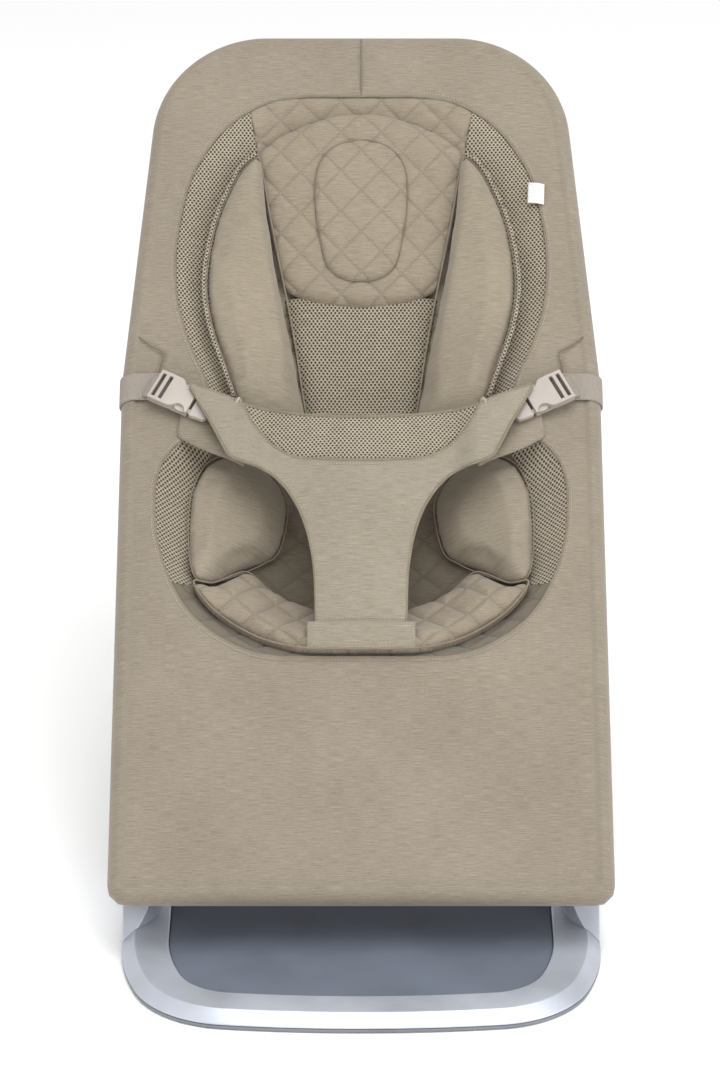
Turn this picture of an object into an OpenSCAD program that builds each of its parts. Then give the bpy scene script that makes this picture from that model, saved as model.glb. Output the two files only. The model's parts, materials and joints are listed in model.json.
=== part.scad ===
// Folding baby bouncer seat: fabric sling on a tube frame, on two sprung arms over a floor ring.
// Millimetres. -Y is the front and +Z is up; the origin is on the floor under the middle.
// Left and right are as seen from the front, so right is +X.

/* [Seat frame] */
// Width over the covered frame
seat_w = 428; // [390:1:460]
// Bend to front tube, along the lower frame
lower_len = 506; // [470:1:540]
// Bend to top tube, along the upper frame
upper_len = 330; // [310:1:360]
// Slope of the lower frame from the floor
lower_angle = 36; // [34:1:38]
// Slope of the upper frame from the floor
upper_angle = 46; // [42:1:52]
// Inward tilt of each upper leg
leg_tilt = 5.5; // [4:0.5:7]
// Bend radius of the top corners, at the tube's centre
top_bend_r = 91; // [80:1:100]
// Outside diameter of the frame tubes
tube_d = 22; // [20:1:24]
// Wall of the frame tubes
tube_wall = 1.6; // [1.2:0.1:2]
// Front tube centre behind the floor ring's front edge
front_y = 135; // [130:1:145]
// Front tube centre above the floor
front_z = 64; // [60:1:72]

/* [Floor ring] */
// Width of the floor ring
base_w = 406; // [380:1:440]
// Length of the floor ring
base_len = 640; // [600:1:700]
// Radius of the bowed front edge
bow_r = 1000; // [800:50:1400]
// Radius of the front corners
corner_r = 90; // [80:1:100]
// Radius of the run from the front corner into the side
side_r = 230; // [200:5:260]
// Radius of the rear corners
rear_r = 110; // [95:1:140]
// Flat and chamfer together, across the ring
ring_w = 40; // [36:1:46]
// Width of the ring's outer chamfer
chamfer_w = 11; // [8:1:13]
// Height of the ring's top face above the floor
ring_top = 14.5; // [13:0.5:17]
// Thickness of the floor panel
panel_t = 4; // [3:0.5:5]

/* [Hubs] */
// Hub axis behind the floor ring's front edge
hub_y = 230; // [222:1:238]
// Hub axis above the floor
hub_z = 55; // [52:1:60]
// Outer radius of the hub cheeks
cheek_r = 31; // [30:1:33]
// Distance over the two cheeks of one hub
knuckle_w = 32; // [31:1:34]
// Radius of the cross shaft
shaft_r = 8; // [7:0.5:9]
// Radius of the arm's eye
eye_r = 28; // [27:0.5:29]
// Thickness of each arm
arm_t = 11; // [9:1:12]
// Radius of the release button
button_r = 11; // [9:0.5:11.5]
// How far the button stands out
button_out = 3; // [2:0.5:4]

/* [Cover and harness] */
// Thickness of the cover fabric
cover_t = 2.4; // [1.5:0.1:3]
// Depth of the seat's hollow below the border
pan_depth = 74; // [60:1:80]
// Padding thickness of the seat pan
pan_t = 4; // [3:0.5:6]
// Width of the harness webbing
webbing_w = 28; // [24:1:30]
// Thickness of the harness webbing
webbing_t = 1.6; // [1.2:0.1:2]
// Length of each buckle, latched
buckle_len = 64; // [58:1:70]
// Width of each buckle
buckle_w = 31; // [30:1:34]
// Thickness of each buckle
buckle_t = 10; // [9:0.5:11]

/* [Fits] */
// Radial clearance of a running fit
run_fit = 0.05; // [0.02:0.01:0.1]
// Gap between pieces that only lie beside each other
lie_gap = 0.4; // [0.3:0.1:0.6]

/* [Hidden] */
$fn = 64;
eps = 0.01;

// --- Derived sizes -------------------------------------------------------------------------
tube_r = tube_d / 2;
bore_r = tube_r - tube_wall;
cover_in = tube_r + lie_gap;
cover_out = cover_in + cover_t;
frame_x = seat_w / 2 - cover_out;
bend_y = front_y + lower_len * cos(lower_angle);
bend_z = front_z + lower_len * sin(lower_angle);
top_edge = upper_len + cover_out;
overall_depth = bend_y + top_edge * cos(upper_angle) + cover_out * sin(upper_angle);

// Top corner of the covered frame: the arc meets the tilted leg and the straight top
outer_r = top_bend_r + cover_out;
arc_s = upper_len - top_bend_r;
arc_x = frame_x - arc_s * tan(leg_tilt) - top_bend_r / cos(leg_tilt);
leg_len = (arc_s + top_bend_r * sin(leg_tilt)) / cos(leg_tilt);

// Floor ring outline: bow, corner and side arcs meet at a common tangent
base_hw = base_w / 2;
side_start = 70;
bow_end = asin((base_hw - corner_r * sin(side_start) - side_r * (1 - sin(side_start)))
    / (bow_r - corner_r));
corner_c = [(bow_r - corner_r) * sin(bow_end), bow_r - (bow_r - corner_r) * cos(bow_end)];
side_c = [base_hw - side_r, corner_c[1] + (side_r - corner_r) * cos(side_start)];
rear_c = [base_hw - rear_r, base_len - rear_r];
sole_z = 0.8;
seam_z = 4.6;
lip_z = 3.9;
lip_in = 1.2;
ring_wall = 4;
ledge_w = 8;
ledge_z = ring_top - 2 - panel_t;

// Hub, from the outer cheek inwards
cheek_out = base_hw;
cheek_t = 4;
cheek_in = cheek_out - knuckle_w;
gap_in = cheek_in + cheek_t + 0.5;
gap_out = cheek_out - cheek_t;
flange_t = 5;
drum_in = gap_in + 0.5;
drum_out = gap_out - 1.5;
arm_in = drum_in + flange_t + 3;
arm_out = arm_in + arm_t;
drum_hub_r = button_r + 4.5;
socket_r = drum_hub_r - 2.6;
gear_r = socket_r - lie_gap;
flange_r = 24;
bush_r = drum_hub_r + 5;
spigot_r = bore_r - run_fit;
knuckle_floor = ring_top + 3;

// The sewing pattern is drawn for this size and graded to the frame
pattern_w = 428;
pattern_low = 506;
pattern_up = 330;
grade_x = seat_w / pattern_w;
grade_low = lower_len / pattern_low;
grade_up = upper_len / pattern_up;
pan_top_s = 280;
pan_low_s = -288;

// Half-width of the pan's seam, as [distance from the bend, half-width]
seam_pts = [[-288, 70], [-284, 92], [-276, 110], [-262, 131], [-245, 148], [-222, 162],
    [-190, 174], [-153, 181], [-120, 182], [-95, 178], [-76, 168], [-60, 153], [-35, 139],
    [-13, 141], [30, 157], [75, 166], [110, 166], [163, 158], [207, 144], [243, 128],
    [262, 108], [272, 95], [280, 72]];
// Half-width of the quilted middle; the mesh panels lie outside it
quilt_pts = [[-288, 69], [-284, 91], [-276, 109], [-262, 130], [-245, 147], [-222, 161],
    [-216, 162], [-206, 147], [-100, 146], [-35, 118], [40, 100], [160, 92], [221, 95],
    [262, 107], [280, 72]];
// Depth of the hollow, as a share of pan_depth
depth_pts = [[-288, 0], [-262, 0.42], [-225, 0.8], [-160, 1], [-90, 1], [0, 0.82],
    [110, 0.5], [200, 0.24], [280, 0]];

// --- Curves --------------------------------------------------------------------------------
function span(p, t, i = 0) = (i >= len(p) - 2 || t < p[i + 1][0]) ? i : span(p, t, i + 1);
function grad(p, i) = (p[i + 1][1] - p[i][1]) / (p[i + 1][0] - p[i][0]);
function tangent(p, i) =
    i == 0 ? grad(p, 0)
    : i == len(p) - 1 ? grad(p, i - 1)
    : grad(p, i - 1) * grad(p, i) <= 0 ? 0
    : 2 / (1 / grad(p, i - 1) + 1 / grad(p, i));
// Smooth curve through the points of p that never swings past them
function curve(p, t) =
    let (i = span(p, t), w = p[i + 1][0] - p[i][0], q = min(1, max(0, (t - p[i][0]) / w)))
    (2 * q ^ 3 - 3 * q ^ 2 + 1) * p[i][1] + (q ^ 3 - 2 * q ^ 2 + q) * tangent(p, i) * w
    + (3 * q ^ 2 - 2 * q ^ 3) * p[i + 1][1] + (q ^ 3 - q ^ 2) * tangent(p, i + 1) * w;

function seam_x(s) = curve(seam_pts, s);
function quilt_x(s) = curve(quilt_pts, s);
function seam_share(x, s) = min(1, abs(x) / seam_x(s));
// Upper face of the seat pan, measured square to the frame
function pan_h(x, s) = cover_out - pan_depth * curve(depth_pts, s) * (1 - seam_share(x, s) ^ 2.6);

// Half-width of the covered frame, in real millimetres along the frame
function outer_real(s) =
    s > arc_s + outer_r * sin(leg_tilt)
    ? arc_x + sqrt(max(0, outer_r ^ 2 - (s - arc_s) ^ 2))
    : s > 0 ? frame_x - s * tan(leg_tilt) + cover_out / cos(leg_tilt)
    : s > -lower_len ? frame_x + cover_out
    : frame_x + sqrt(max(0, cover_out ^ 2 - (s + lower_len) ^ 2));
function grade_s(s) = s > 0 ? s * grade_up : s * grade_low;
function outer_x(s) = outer_real(grade_s(s)) / grade_x;

// A point of the sewing pattern, h above the middle of the frame, in its real place. The cloth
// turns through the bend over 60 each way, though its middle keeps to the tubes
function slope(s) = (lower_angle + upper_angle) / 2
    + (upper_angle - lower_angle) / 2 * min(1, max(-1, s / 60));
function at(x, s, h) =
    let (r = grade_s(s), a = slope(s), b = s < 0 ? lower_angle : upper_angle)
    [x * grade_x, bend_y + r * cos(b) - h * sin(a), bend_z + r * sin(b) + h * cos(a)];

function steps(a, b, n) = [for (i = [0:n]) a + (b - a) * i / n];

// --- Shared building modules ---------------------------------------------------------------
module placed() {
    translate([0, -overall_depth / 2, 0]) children();
}

module sided(right) {
    mirror([right, 0, 0]) children();
}

module lower_frame() {
    placed() translate([0, bend_y, bend_z]) rotate([lower_angle, 0, 0]) children();
}

module upper_frame() {
    placed() translate([0, bend_y, bend_z]) rotate([upper_angle, 0, 0]) children();
}

// Cloth or padding laid on the pattern: rows along s, from left(s) to right(s) across,
// its under face at under(x, s) and its thickness at thick(u, v), with u and v from 0 to 1
module sheet(rows, cols, left, right, under, thick) {
    n = len(rows);
    m = cols + 1;
    grid = [for (i = [0:n - 1]) for (j = [0:cols])
        let (s = rows[i], x = left(s) + (right(s) - left(s)) * j / cols) [x, s, i / (n - 1), j / cols]];
    low = [for (g = grid) at(g[0], g[1], under(g[0], g[1]))];
    high = [for (g = grid) at(g[0], g[1], under(g[0], g[1]) + thick(g[3], g[2]))];
    k = n * m;
    upper_faces = [for (i = [0:n - 2]) for (j = [0:cols - 1]) let (a = i * m + j)
        each [[k + a, k + a + m, k + a + m + 1], [k + a, k + a + m + 1, k + a + 1]]];
    lower_faces = [for (i = [0:n - 2]) for (j = [0:cols - 1]) let (a = i * m + j)
        each [[a, a + m + 1, a + m], [a, a + 1, a + m + 1]]];
    side_faces = [for (i = [0:n - 2]) let (a = i * m, b = i * m + cols)
        each [[a, a + m, k + a + m], [a, k + a + m, k + a],
            [b, k + b + m, b + m], [b, k + b, k + b + m]]];
    end_faces = [for (j = [0:cols - 1]) let (b = (n - 1) * m + j)
        each [[j, k + j + 1, j + 1], [j, k + j, k + j + 1],
            [b, b + 1, k + b + 1], [b, k + b + 1, k + b]]];
    placed() polyhedron(concat(low, high), concat(upper_faces, lower_faces, side_faces, end_faces));
}

// A padded piece: crowned over its middle, thin along its edges
module cushion(rows, cols, left, right, t, lift = 1.4) {
    sheet(rows, cols, left, right, function (x, s) pan_h(x, s) + lift,
        function (u, v) 2 + (t - 2) * (1 - (2 * u - 1) ^ 4) * (1 - (2 * v - 1) ^ 4));
}

// --- Floor ring ----------------------------------------------------------------------------
// Outline of the ring, a distance in from its rim; each arc starts after the one before
function arc_pts(c, r, a, b, n) =
    [for (i = [1:n]) let (t = a + (b - a) * i / n) [c[0] + r * cos(t), c[1] + r * sin(t)]];
function half_outline(d) = concat(
    [[0, d]],
    arc_pts([0, bow_r], bow_r - d, 270, 270 + bow_end, 3),
    arc_pts(corner_c, corner_r - d, 270 + bow_end, 270 + side_start, 18),
    arc_pts(side_c, side_r - d, 270 + side_start, 360, 8),
    [[base_hw - d, rear_c[1]]],
    arc_pts(rear_c, rear_r - d, 0, 90, 18));
function ring_outline(d) =
    let (h = half_outline(d), n = len(h))
    concat(h, [for (i = [n - 1:-1:1]) [-h[i][0], h[i][1]]]);

// Sweeps a section, drawn as [distance in from the rim, height], round the ring's outline
module ring_sweep(section) {
    loops = [for (p = section) [for (q = ring_outline(p[0])) [q[0], q[1], p[1]]]];
    n = len(loops[0]);
    m = len(section);
    placed() polyhedron([for (l = loops) each l], [for (k = [0:m - 1]) for (i = [0:n - 1])
        let (j = (i + 1) % n, l = (k + 1) % m) [k * n + i, l * n + i, l * n + j, k * n + j]]);
}

module base_ring() {
    color("silver") ring_sweep([
        [0, seam_z], [0, seam_z + 0.9], [chamfer_w, ring_top], [ring_w - 1.5, ring_top],
        [ring_w, ring_top - 1], [ring_w, seam_z], [ring_w - ring_wall, seam_z],
        [ring_w - ring_wall, ring_top - ring_wall], [chamfer_w + 1, ring_top - ring_wall],
        [ring_wall + 2, seam_z]]);
}

module base_sole() {
    color("dimgray") ring_sweep([
        [0.8, sole_z], [0, sole_z + 0.8], [0, lip_z], [lip_in, lip_z], [lip_in, seam_z],
        [ring_w, seam_z], [ring_w, ledge_z], [ring_w + ledge_w, ledge_z], [ring_w + ledge_w, sole_z]]);
}

module base_panel() {
    color("slategray") placed() translate([0, 0, ledge_z])
        linear_extrude(panel_t) polygon(ring_outline(ring_w + lie_gap));
}

foot_spots = [for (x = [-1, 1]) for (y = [170, base_len - 150]) [x * (base_hw - 20), y]];
front_foot_x = 90;

module rubber_feet() {
    color("black") placed() {
        for (p = foot_spots) translate([p[0], p[1], 0]) cylinder(r = 12, h = sole_z);
        for (x = [-1, 1]) translate([x * front_foot_x, 24, 0]) cylinder(r = 12, h = sole_z);
    }
}

module base_screws() {
    color("gray") placed() for (x = [-1, 1]) {
        for (y = [250, 375, base_len - 140])
            translate([x * (base_hw - ring_w - ledge_w / 2 - 1), y, ledge_z + panel_t])
                cylinder(r = 2.5, h = 1);
        for (y = [262, 280])
            translate([x * (cheek_out - knuckle_w / 2), y, knuckle_floor]) cylinder(r = 3, h = 1.5);
    }
}

// --- Hubs ----------------------------------------------------------------------------------
nose_y = 150;
heel_y = 292;
nose_r = 65;

// Where a line from p touches a circle round c that lies just inside radius r
function touch(p, c, r, side) =
    let (q = r - 0.3, d = norm(c - p), a = atan2(c[1] - p[1], c[0] - p[0]) + side * asin(q / d))
    p + sqrt(d ^ 2 - q ^ 2) * [cos(a), sin(a)];

module across(x0, x1) {
    translate([x0, 0, 0]) rotate([90, 0, 90]) linear_extrude(x1 - x0) children();
}

module on_hub(x0, x1, r) {
    translate([x0, hub_y, hub_z]) rotate([0, 90, 0]) cylinder(r = r, h = x1 - x0);
}

// A knuckle before it is shaped: the round cheek and the foot that runs up to it
module knuckle_blank() {
    hub = [hub_y, hub_z];
    nose = [nose_y, seam_z];
    heel = [heel_y, seam_z];
    on_hub(cheek_in, cheek_out, cheek_r);
    across(cheek_in, cheek_out)
        polygon([nose, touch(nose, hub, cheek_r, 1), touch(heel, hub, cheek_r, -1), heel]);
}

module knuckle() {
    difference() {
        intersection() {
            knuckle_blank();
            translate([0, heel_y, 0]) rotate([90, 0, 0]) linear_extrude(heel_y - nose_y)
                polygon([[cheek_out, seam_z + 0.9], [cheek_out, hub_z + cheek_r + 1],
                    [cheek_in, hub_z + cheek_r + 1], [cheek_in, ring_top],
                    [cheek_out - chamfer_w, ring_top]]);
            union() {
                translate([cheek_in + nose_r, nose_y + 55, 0]) cylinder(r = nose_r, h = 2 * hub_z);
                translate([cheek_in, nose_y + 55, 0]) cube([knuckle_w, heel_y - nose_y, 2 * hub_z]);
            }
        }
        translate([gap_in, hub_y - cheek_r - 2, knuckle_floor])
            cube([gap_out - gap_in, 2 * cheek_r + 60, 2 * hub_z]);
        on_hub(cheek_in - 1, gap_in + 1, shaft_r + 2.5);
        on_hub(gap_out - 1, cheek_out + 1, button_r + run_fit);
    }
}

module shaft_bush() {
    difference() {
        union() {
            on_hub(cheek_in, gap_in, shaft_r + 2.5);
            on_hub(cheek_in - 1.5, cheek_in, shaft_r + 5);
        }
        on_hub(cheek_in - 2, gap_in + 1, shaft_r + run_fit);
    }
}

module cross_shaft() {
    color("silver") placed() difference() {
        on_hub(-drum_in, drum_in, shaft_r);
        on_hub(-drum_in - 1, drum_in + 1, shaft_r - 2);
    }
}

module recline_drum() {
    difference() {
        union() {
            on_hub(drum_in, drum_in + flange_t, flange_r);
            on_hub(drum_in + flange_t - eps, drum_out, drum_hub_r);
        }
        on_hub(drum_in + flange_t, drum_out + 1, socket_r);
        for (a = [0:60:300]) translate([0, hub_y, hub_z]) rotate([a, 0, 0])
            translate([drum_in + 2, 0, flange_r - 5]) rotate([0, 90, 0]) cylinder(r = 2.5, h = flange_t);
    }
}

module torsion_bush() {
    difference() {
        on_hub(arm_in - 1, arm_out + 1, bush_r);
        on_hub(arm_in - 2, arm_out + 2, drum_hub_r);
    }
}

gear_out = drum_out - 2;
gear_t = 5;

module release_button() {
    difference() {
        on_hub(gear_out, cheek_out + button_out, button_r);
        on_hub(cheek_out + button_out - 0.8, cheek_out + button_out + 1, button_r - 3);
    }
}

module lock_gear() {
    difference() {
        on_hub(gear_out - gear_t, gear_out, gear_r);
        for (a = [0:30:330]) translate([0, hub_y, hub_z]) rotate([a, 0, 0])
            translate([gear_out - gear_t - 1, 0, gear_r + 0.6]) rotate([0, 90, 0])
                cylinder(r = 1.8, h = gear_t + 2);
    }
}

module button_spring() {
    first = drum_in + flange_t + 0.3;
    last = gear_out - gear_t - 0.3;
    for (x = steps(first + 0.6, last - 0.6, 3)) translate([x, hub_y, hub_z]) rotate([0, 90, 0])
        rotate_extrude() translate([button_r - 3.5, 0]) circle(0.6, $fn = 16);
}

// --- Arms and frame ------------------------------------------------------------------------
hub_dy = hub_y - bend_y;
hub_dz = hub_z - bend_z;
hub_s = hub_dy * cos(lower_angle) + hub_dz * sin(lower_angle);
hub_h = hub_dz * cos(lower_angle) - hub_dy * sin(lower_angle);
pad_front = hub_s + 105;
pad_back = hub_s + 205;
pad_top = -cover_out - lie_gap;
pad_t = 6;

module arm() {
    hub = [hub_s, hub_h];
    front = [pad_front, pad_top];
    back = [pad_back - 70, pad_top - pad_t - 4];
    difference() {
        union() {
            across(arm_in, arm_out) difference() {
                union() {
                    translate(hub) circle(eye_r);
                    polygon([touch(front, hub, eye_r, -1), hub, touch(back, hub, eye_r, 1), back,
                        [pad_back, pad_top - pad_t], [pad_back, pad_top], front]);
                }
                translate(hub) circle(bush_r + run_fit);
            }
            translate([arm_in, pad_front, pad_top - pad_t])
                cube([frame_x + tube_r - arm_in, pad_back - pad_front, pad_t]);
        }
        for (s = [pad_front + 20, pad_back - 20])
            translate([frame_x, s, pad_top - pad_t - 1]) cylinder(r = 3.1, h = pad_t + 2);
    }
}

module arm_bolts() {
    color("gray") lower_frame() for (x = [-1, 1]) for (s = [pad_front + 20, pad_back - 20])
        translate([x * frame_x, s, 0]) {
            translate([0, 0, pad_top - pad_t - 3.5]) cylinder(r = 5, h = 3.5);
            translate([0, 0, pad_top - pad_t - 0.1]) cylinder(r = 3, h = pad_t - pad_top - 4);
        }
}

elbow_reach = 12;
spigot_len = 34;
rivet_s = 28;

module tube(len, r_out, r_in) {
    difference() {
        cylinder(r = r_out, h = len);
        translate([0, 0, -1]) cylinder(r = r_in, h = len + 2);
    }
}

module side_tube() {
    difference() {
        translate([frame_x, -lower_len + elbow_reach, 0]) rotate([-90, 0, 0])
            tube(lower_len - 2 * elbow_reach, tube_r, bore_r);
        for (s = [pad_front + 20, pad_back - 20])
            translate([frame_x, s, -tube_r - 5]) cylinder(r = 3.1, h = tube_r);
        translate([frame_x - tube_r - 1, -rivet_s, 0]) rotate([0, 90, 0])
            cylinder(r = 2.6, h = tube_r);
    }
}

module front_tube() {
    color("silver") lower_frame() translate([-frame_x + elbow_reach, -lower_len, 0])
        rotate([0, 90, 0]) tube(2 * (frame_x - elbow_reach), tube_r, bore_r);
}

module corner() {
    translate([frame_x, -lower_len, 0]) {
        sphere(tube_r);
        rotate([-90, 0, 0]) plug();
        rotate([0, -90, 0]) plug();
    }
}

module plug() {
    cylinder(r = tube_r, h = elbow_reach);
    cylinder(r = spigot_r, h = elbow_reach + spigot_len);
}

module elbow() {
    difference() {
        placed() translate([frame_x, bend_y, bend_z]) {
            sphere(tube_r);
            rotate([lower_angle + 90, 0, 0]) plug();
            rotate([upper_angle, 0, 0]) rotate([0, 0, leg_tilt]) rotate([-90, 0, 0]) plug();
        }
        lower_frame() translate([frame_x - tube_r - 1, -rivet_s, 0]) rotate([0, 90, 0])
            cylinder(r = 2.6, h = tube_r);
        upper_frame() upper_rivet_spot() cylinder(r = 2.6, h = tube_r);
    }
}

// The upper rivet's axis, from the inner side of the leg outwards
module upper_rivet_spot() {
    translate([frame_x, 0, 0]) rotate([0, 0, leg_tilt])
        translate([-tube_r - 1, rivet_s, 0]) rotate([0, 90, 0]) children();
}

module rivet() {
    cylinder(r = 2.5, h = tube_r - 2);
    translate([0, 0, -1.2]) cylinder(r = 4.5, h = 1.6);
}

module elbow_rivets() {
    color("gray") for (m = [0, 1]) mirror([m, 0, 0]) {
        lower_frame() translate([frame_x - tube_r - 0.6, -rivet_s, 0]) rotate([0, 90, 0]) rivet();
        upper_frame() translate([0.4, 0, 0]) upper_rivet_spot() rivet();
    }
}

module upper_leg() {
    difference() {
        translate([frame_x, 0, 0]) rotate([0, 0, leg_tilt]) rotate([-90, 0, 0])
            translate([0, 0, elbow_reach]) tube(leg_len - elbow_reach, tube_r, bore_r);
        upper_rivet_spot() cylinder(r = 2.6, h = tube_r);
    }
}

// One top corner of the head tube
module head_bend() {
    translate([arc_x, arc_s, 0]) rotate([0, 0, leg_tilt]) difference() {
        rotate_extrude(angle = 90 - leg_tilt) translate([top_bend_r, 0]) circle(tube_r);
        rotate_extrude(angle = 90 - leg_tilt) translate([top_bend_r, 0]) circle(bore_r);
    }
}

module head_tube() {
    color("silver") upper_frame() {
        for (m = [0, 1]) mirror([m, 0, 0]) head_bend();
        translate([-arc_x, upper_len, 0]) rotate([0, 90, 0]) tube(2 * arc_x, tube_r, bore_r);
    }
}

// --- Cover ---------------------------------------------------------------------------------
top_edge_s = top_edge / grade_up;
low_edge_s = -(lower_len + cover_out) / grade_low;
corner_rows = [for (a = [0:10:90]) pan_top_s + (top_edge_s - pan_top_s) * sin(a)];
front_rows = [for (a = [0:15:90]) -lower_len / grade_low
    + (low_edge_s + lower_len / grade_low) * sin(90 - a)];
side_rows = concat(steps(-288, -262, 4), steps(-250, -80, 10), steps(-66, 60, 9),
    steps(80, 240, 8), steps(252, 280, 4));
skin = function (u, v) cover_t;
edge_in = function (s) outer_x(s) - cover_t / grade_x;

// One skin of the cover, with the pan's opening, its under face at h
module border_skin(h) {
    level = function (x, s) h;
    rim = function (s) seam_x(s) + 1;
    sheet(corner_rows, 8, function (s) -outer_x(s), function (s) outer_x(s), level, skin);
    sheet(concat(front_rows, [-400, pan_low_s]), 8, function (s) -outer_x(s),
        function (s) outer_x(s), level, skin);
    sheet(side_rows, 2, rim, function (s) outer_x(s), level, skin);
    sheet(side_rows, 2, function (s) -outer_x(s), function (s) -rim(s), level, skin);
}

// The fold of the cover round the frame's outer side
module border_edge() {
    depth = 2 * cover_in;
    lap = 0.8;
    rows = concat(front_rows, [-400], side_rows, [for (i = [1:9]) corner_rows[i]]);
    level = function (x, s) -cover_in;
    fold = function (u, v) depth;
    sheet(rows, 1, edge_in, function (s) outer_x(s), level, fold);
    sheet(rows, 1, function (s) -outer_x(s), function (s) -edge_in(s), level, fold);
    for (s0 = [top_edge_s - cover_t, low_edge_s])
        let (x = edge_in(s0 == low_edge_s ? low_edge_s : top_edge_s) + cover_t / 2)
        sheet([s0, s0 + cover_t], 1, function (s) -x, function (s) x, level,
            function (u, v) depth + lap);
}

module cover_front() {
    color("tan") {
        border_skin(cover_in);
        border_edge();
    }
}

module cover_back() {
    color("tan") difference() {
        border_skin(-cover_out);
        lower_frame() for (x = [-1, 1]) for (s = [pad_front + 20, pad_back - 20])
            translate([x * frame_x, s, -cover_out - 1]) cylinder(r = 3.2, h = cover_t + 2);
    }
}

zip_s = -345;
zip_half = 150;

module zip_tape() {
    color("dimgray") sheet([zip_s - 8, zip_s + 8], 1, function (s) -zip_half,
        function (s) zip_half, function (x, s) -cover_out - 1.2, function (u, v) 1.1);
}

module zip_slider() {
    color("silver") lower_frame() translate([-zip_half * grade_x, zip_s * grade_low, -cover_out]) {
        translate([0, -5, -4.2]) cube([10, 10, 2.8]);
        translate([8, -2.5, -5.6]) cube([22, 5, 1.3]);
    }
}

module side_tag() {
    color("white") sheet([172, 192], 1, function (s) 151 - (s - 172) * 0.16,
        function (s) 166 - (s - 172) * 0.16, function (x, s) cover_out + 0.1,
        function (u, v) 0.7);
}

// --- Pan and insert ------------------------------------------------------------------------
padding = function (u, v) pan_t;
pan_under = function (x, s) pan_h(x, s) - pan_t;
back_rows = concat(steps(-60, 220, 12), steps(236, 262, 3), [268, 274, 280]);
seat_rows = concat([-288, -282, -274], steps(-262, -216, 4), [-206], steps(-190, -60, 6));
mesh_rows = concat([-205], steps(-190, 230, 18), [244, 254, 261]);

module pan_back() {
    color("burlywood") sheet(back_rows, 12, function (s) -quilt_x(s) + 0.2,
        function (s) quilt_x(s) - 0.2, pan_under, padding);
}

module pan_seat() {
    color("burlywood") sheet([for (s = seat_rows) s == -60 ? -60.4 : s], 12,
        function (s) -quilt_x(s) + 0.2, function (s) quilt_x(s) - 0.2, pan_under, padding);
}

module pan_mesh() {
    sheet(mesh_rows, 4, function (s) quilt_x(s) + 0.2, function (s) seam_x(s) - 1, pan_under, padding);
}

// Edges of the insert's pieces, as [distance from the bend, half-width]
inner_edge = [[-60, 44], [0, 52], [100, 70], [215, 93]];
wing_edge = [[-40, 92], [0, 119], [50, 136], [90, 140], [135, 136], [170, 125], [198, 111], [216, 97]];
head_edge = [[80, 67], [215, 92], [235, 73], [250, 46], [258, 12]];
pillow_edge = [[90, 14], [98, 29], [115, 35], [160, 40], [195, 41], [215, 32], [228, 12]];
hip_outer = [[-204, 140], [-185, 149], [-145, 152], [-104, 149], [-84, 132]];
hip_inner = [[-204, 118], [-185, 92], [-135, 80], [-104, 95], [-84, 128]];
thigh_edge = [[-277, 58], [-265, 88], [-248, 110], [-227, 130], [-212, 136]];

module insert_centre() {
    edge = function (s) curve(inner_edge, s) - 1;
    color("darkkhaki") cushion(steps(-150, 78, 8), 6, function (s) -edge(s), edge, 10);
}

module head_rest() {
    edge = function (s) min(curve(head_edge, s), curve(inner_edge, s) - 1);
    color("burlywood") cushion(concat(steps(80, 215, 6), [228, 240, 250, 256]), 8,
        function (s) -edge(s), edge, 16);
}

module head_pillow() {
    edge = function (s) curve(pillow_edge, s);
    color("tan") cushion(concat([90, 98, 108], steps(120, 195, 4), [208, 220, 228]), 6,
        function (s) -edge(s), edge, 10, lift = 18.4);
}

module insert_wing() {
    cushion(concat(steps(-40, 190, 11), [204, 214]), 5,
        function (s) curve(inner_edge, s) + 1, function (s) curve(wing_edge, s), 26, lift = 2);
}

module hip_wing() {
    cushion(steps(-204, -84, 8), 5, function (s) curve(hip_inner, s),
        function (s) curve(hip_outer, s), 26);
}

module thigh_cushion() {
    edge = function (s) curve(thigh_edge, s);
    color("burlywood") cushion(concat([-277, -271, -264], steps(-254, -212, 4)), 12,
        function (s) -edge(s), edge, 16);
}

// --- Harness -------------------------------------------------------------------------------
belt_t = 3;
belt_bow = 14;
belt_outer = [[-262, 39], [-227, 40], [-188, 46], [-161, 54], [-139, 67], [-116, 90],
    [-98, 117], [-81, 145], [-63, 160], [-15, 152]];
belt_inner = [[-98, 0], [-95, 44], [-88, 66], [-73, 82], [-50, 96], [-35, 105], [-15, 147]];
belt_rise = [[-288, 0], [-200, 0.55], [-120, 1], [-15, 1]];
belt_h = function (x, s) cover_out + lie_gap
    + belt_bow * curve(belt_rise, s) * max(0, 1 - (x / 100) ^ 2);
webbing_h = cover_out + lie_gap;

module belt_panel() {
    outer = function (s) curve(belt_outer, s);
    inner = function (s) curve(belt_inner, s);
    flat = function (u, v) belt_t;
    color("tan") {
        sheet(steps(-262, -98, 14), 8, function (s) -outer(s), outer, belt_h, flat);
        for (side = [-1, 1]) sheet(concat([-98, -95, -88, -80], steps(-73, -15, 6)), 4,
            side > 0 ? inner : function (s) -outer(s),
            side > 0 ? outer : function (s) -inner(s), belt_h, flat);
    }
}

module waist_pad() {
    edge = function (s) curve(belt_inner, s) - 3;
    color("darkkhaki") sheet(concat([-94, -90, -84], steps(-76, -52, 3)), 8, function (s) -edge(s), edge,
        function (x, s) belt_h(x, s) - 3, function (u, v) 6);
}

module crotch_band() {
    color("tan") sheet([-284, -278, -272, -262.5], 6, function (s) -47, function (s) 47, belt_h,
        function (u, v) belt_t);
}

buckle_angle = 27;
buckle_x = 184;
buckle_s = -14;
socket_len = buckle_len * 0.62;

// The buckle's own frame: its length runs down and inwards from the webbing's end
module buckle_frame() {
    placed() translate(at(buckle_x, buckle_s, webbing_h + webbing_t + belt_t + 0.6))
        rotate([slope(buckle_s - 30), 0, 0]) rotate([0, 0, 180 + buckle_angle]) children();
}

ladder_len = 16;
slot_w = 3.4;
prong_reach = 16;

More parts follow.
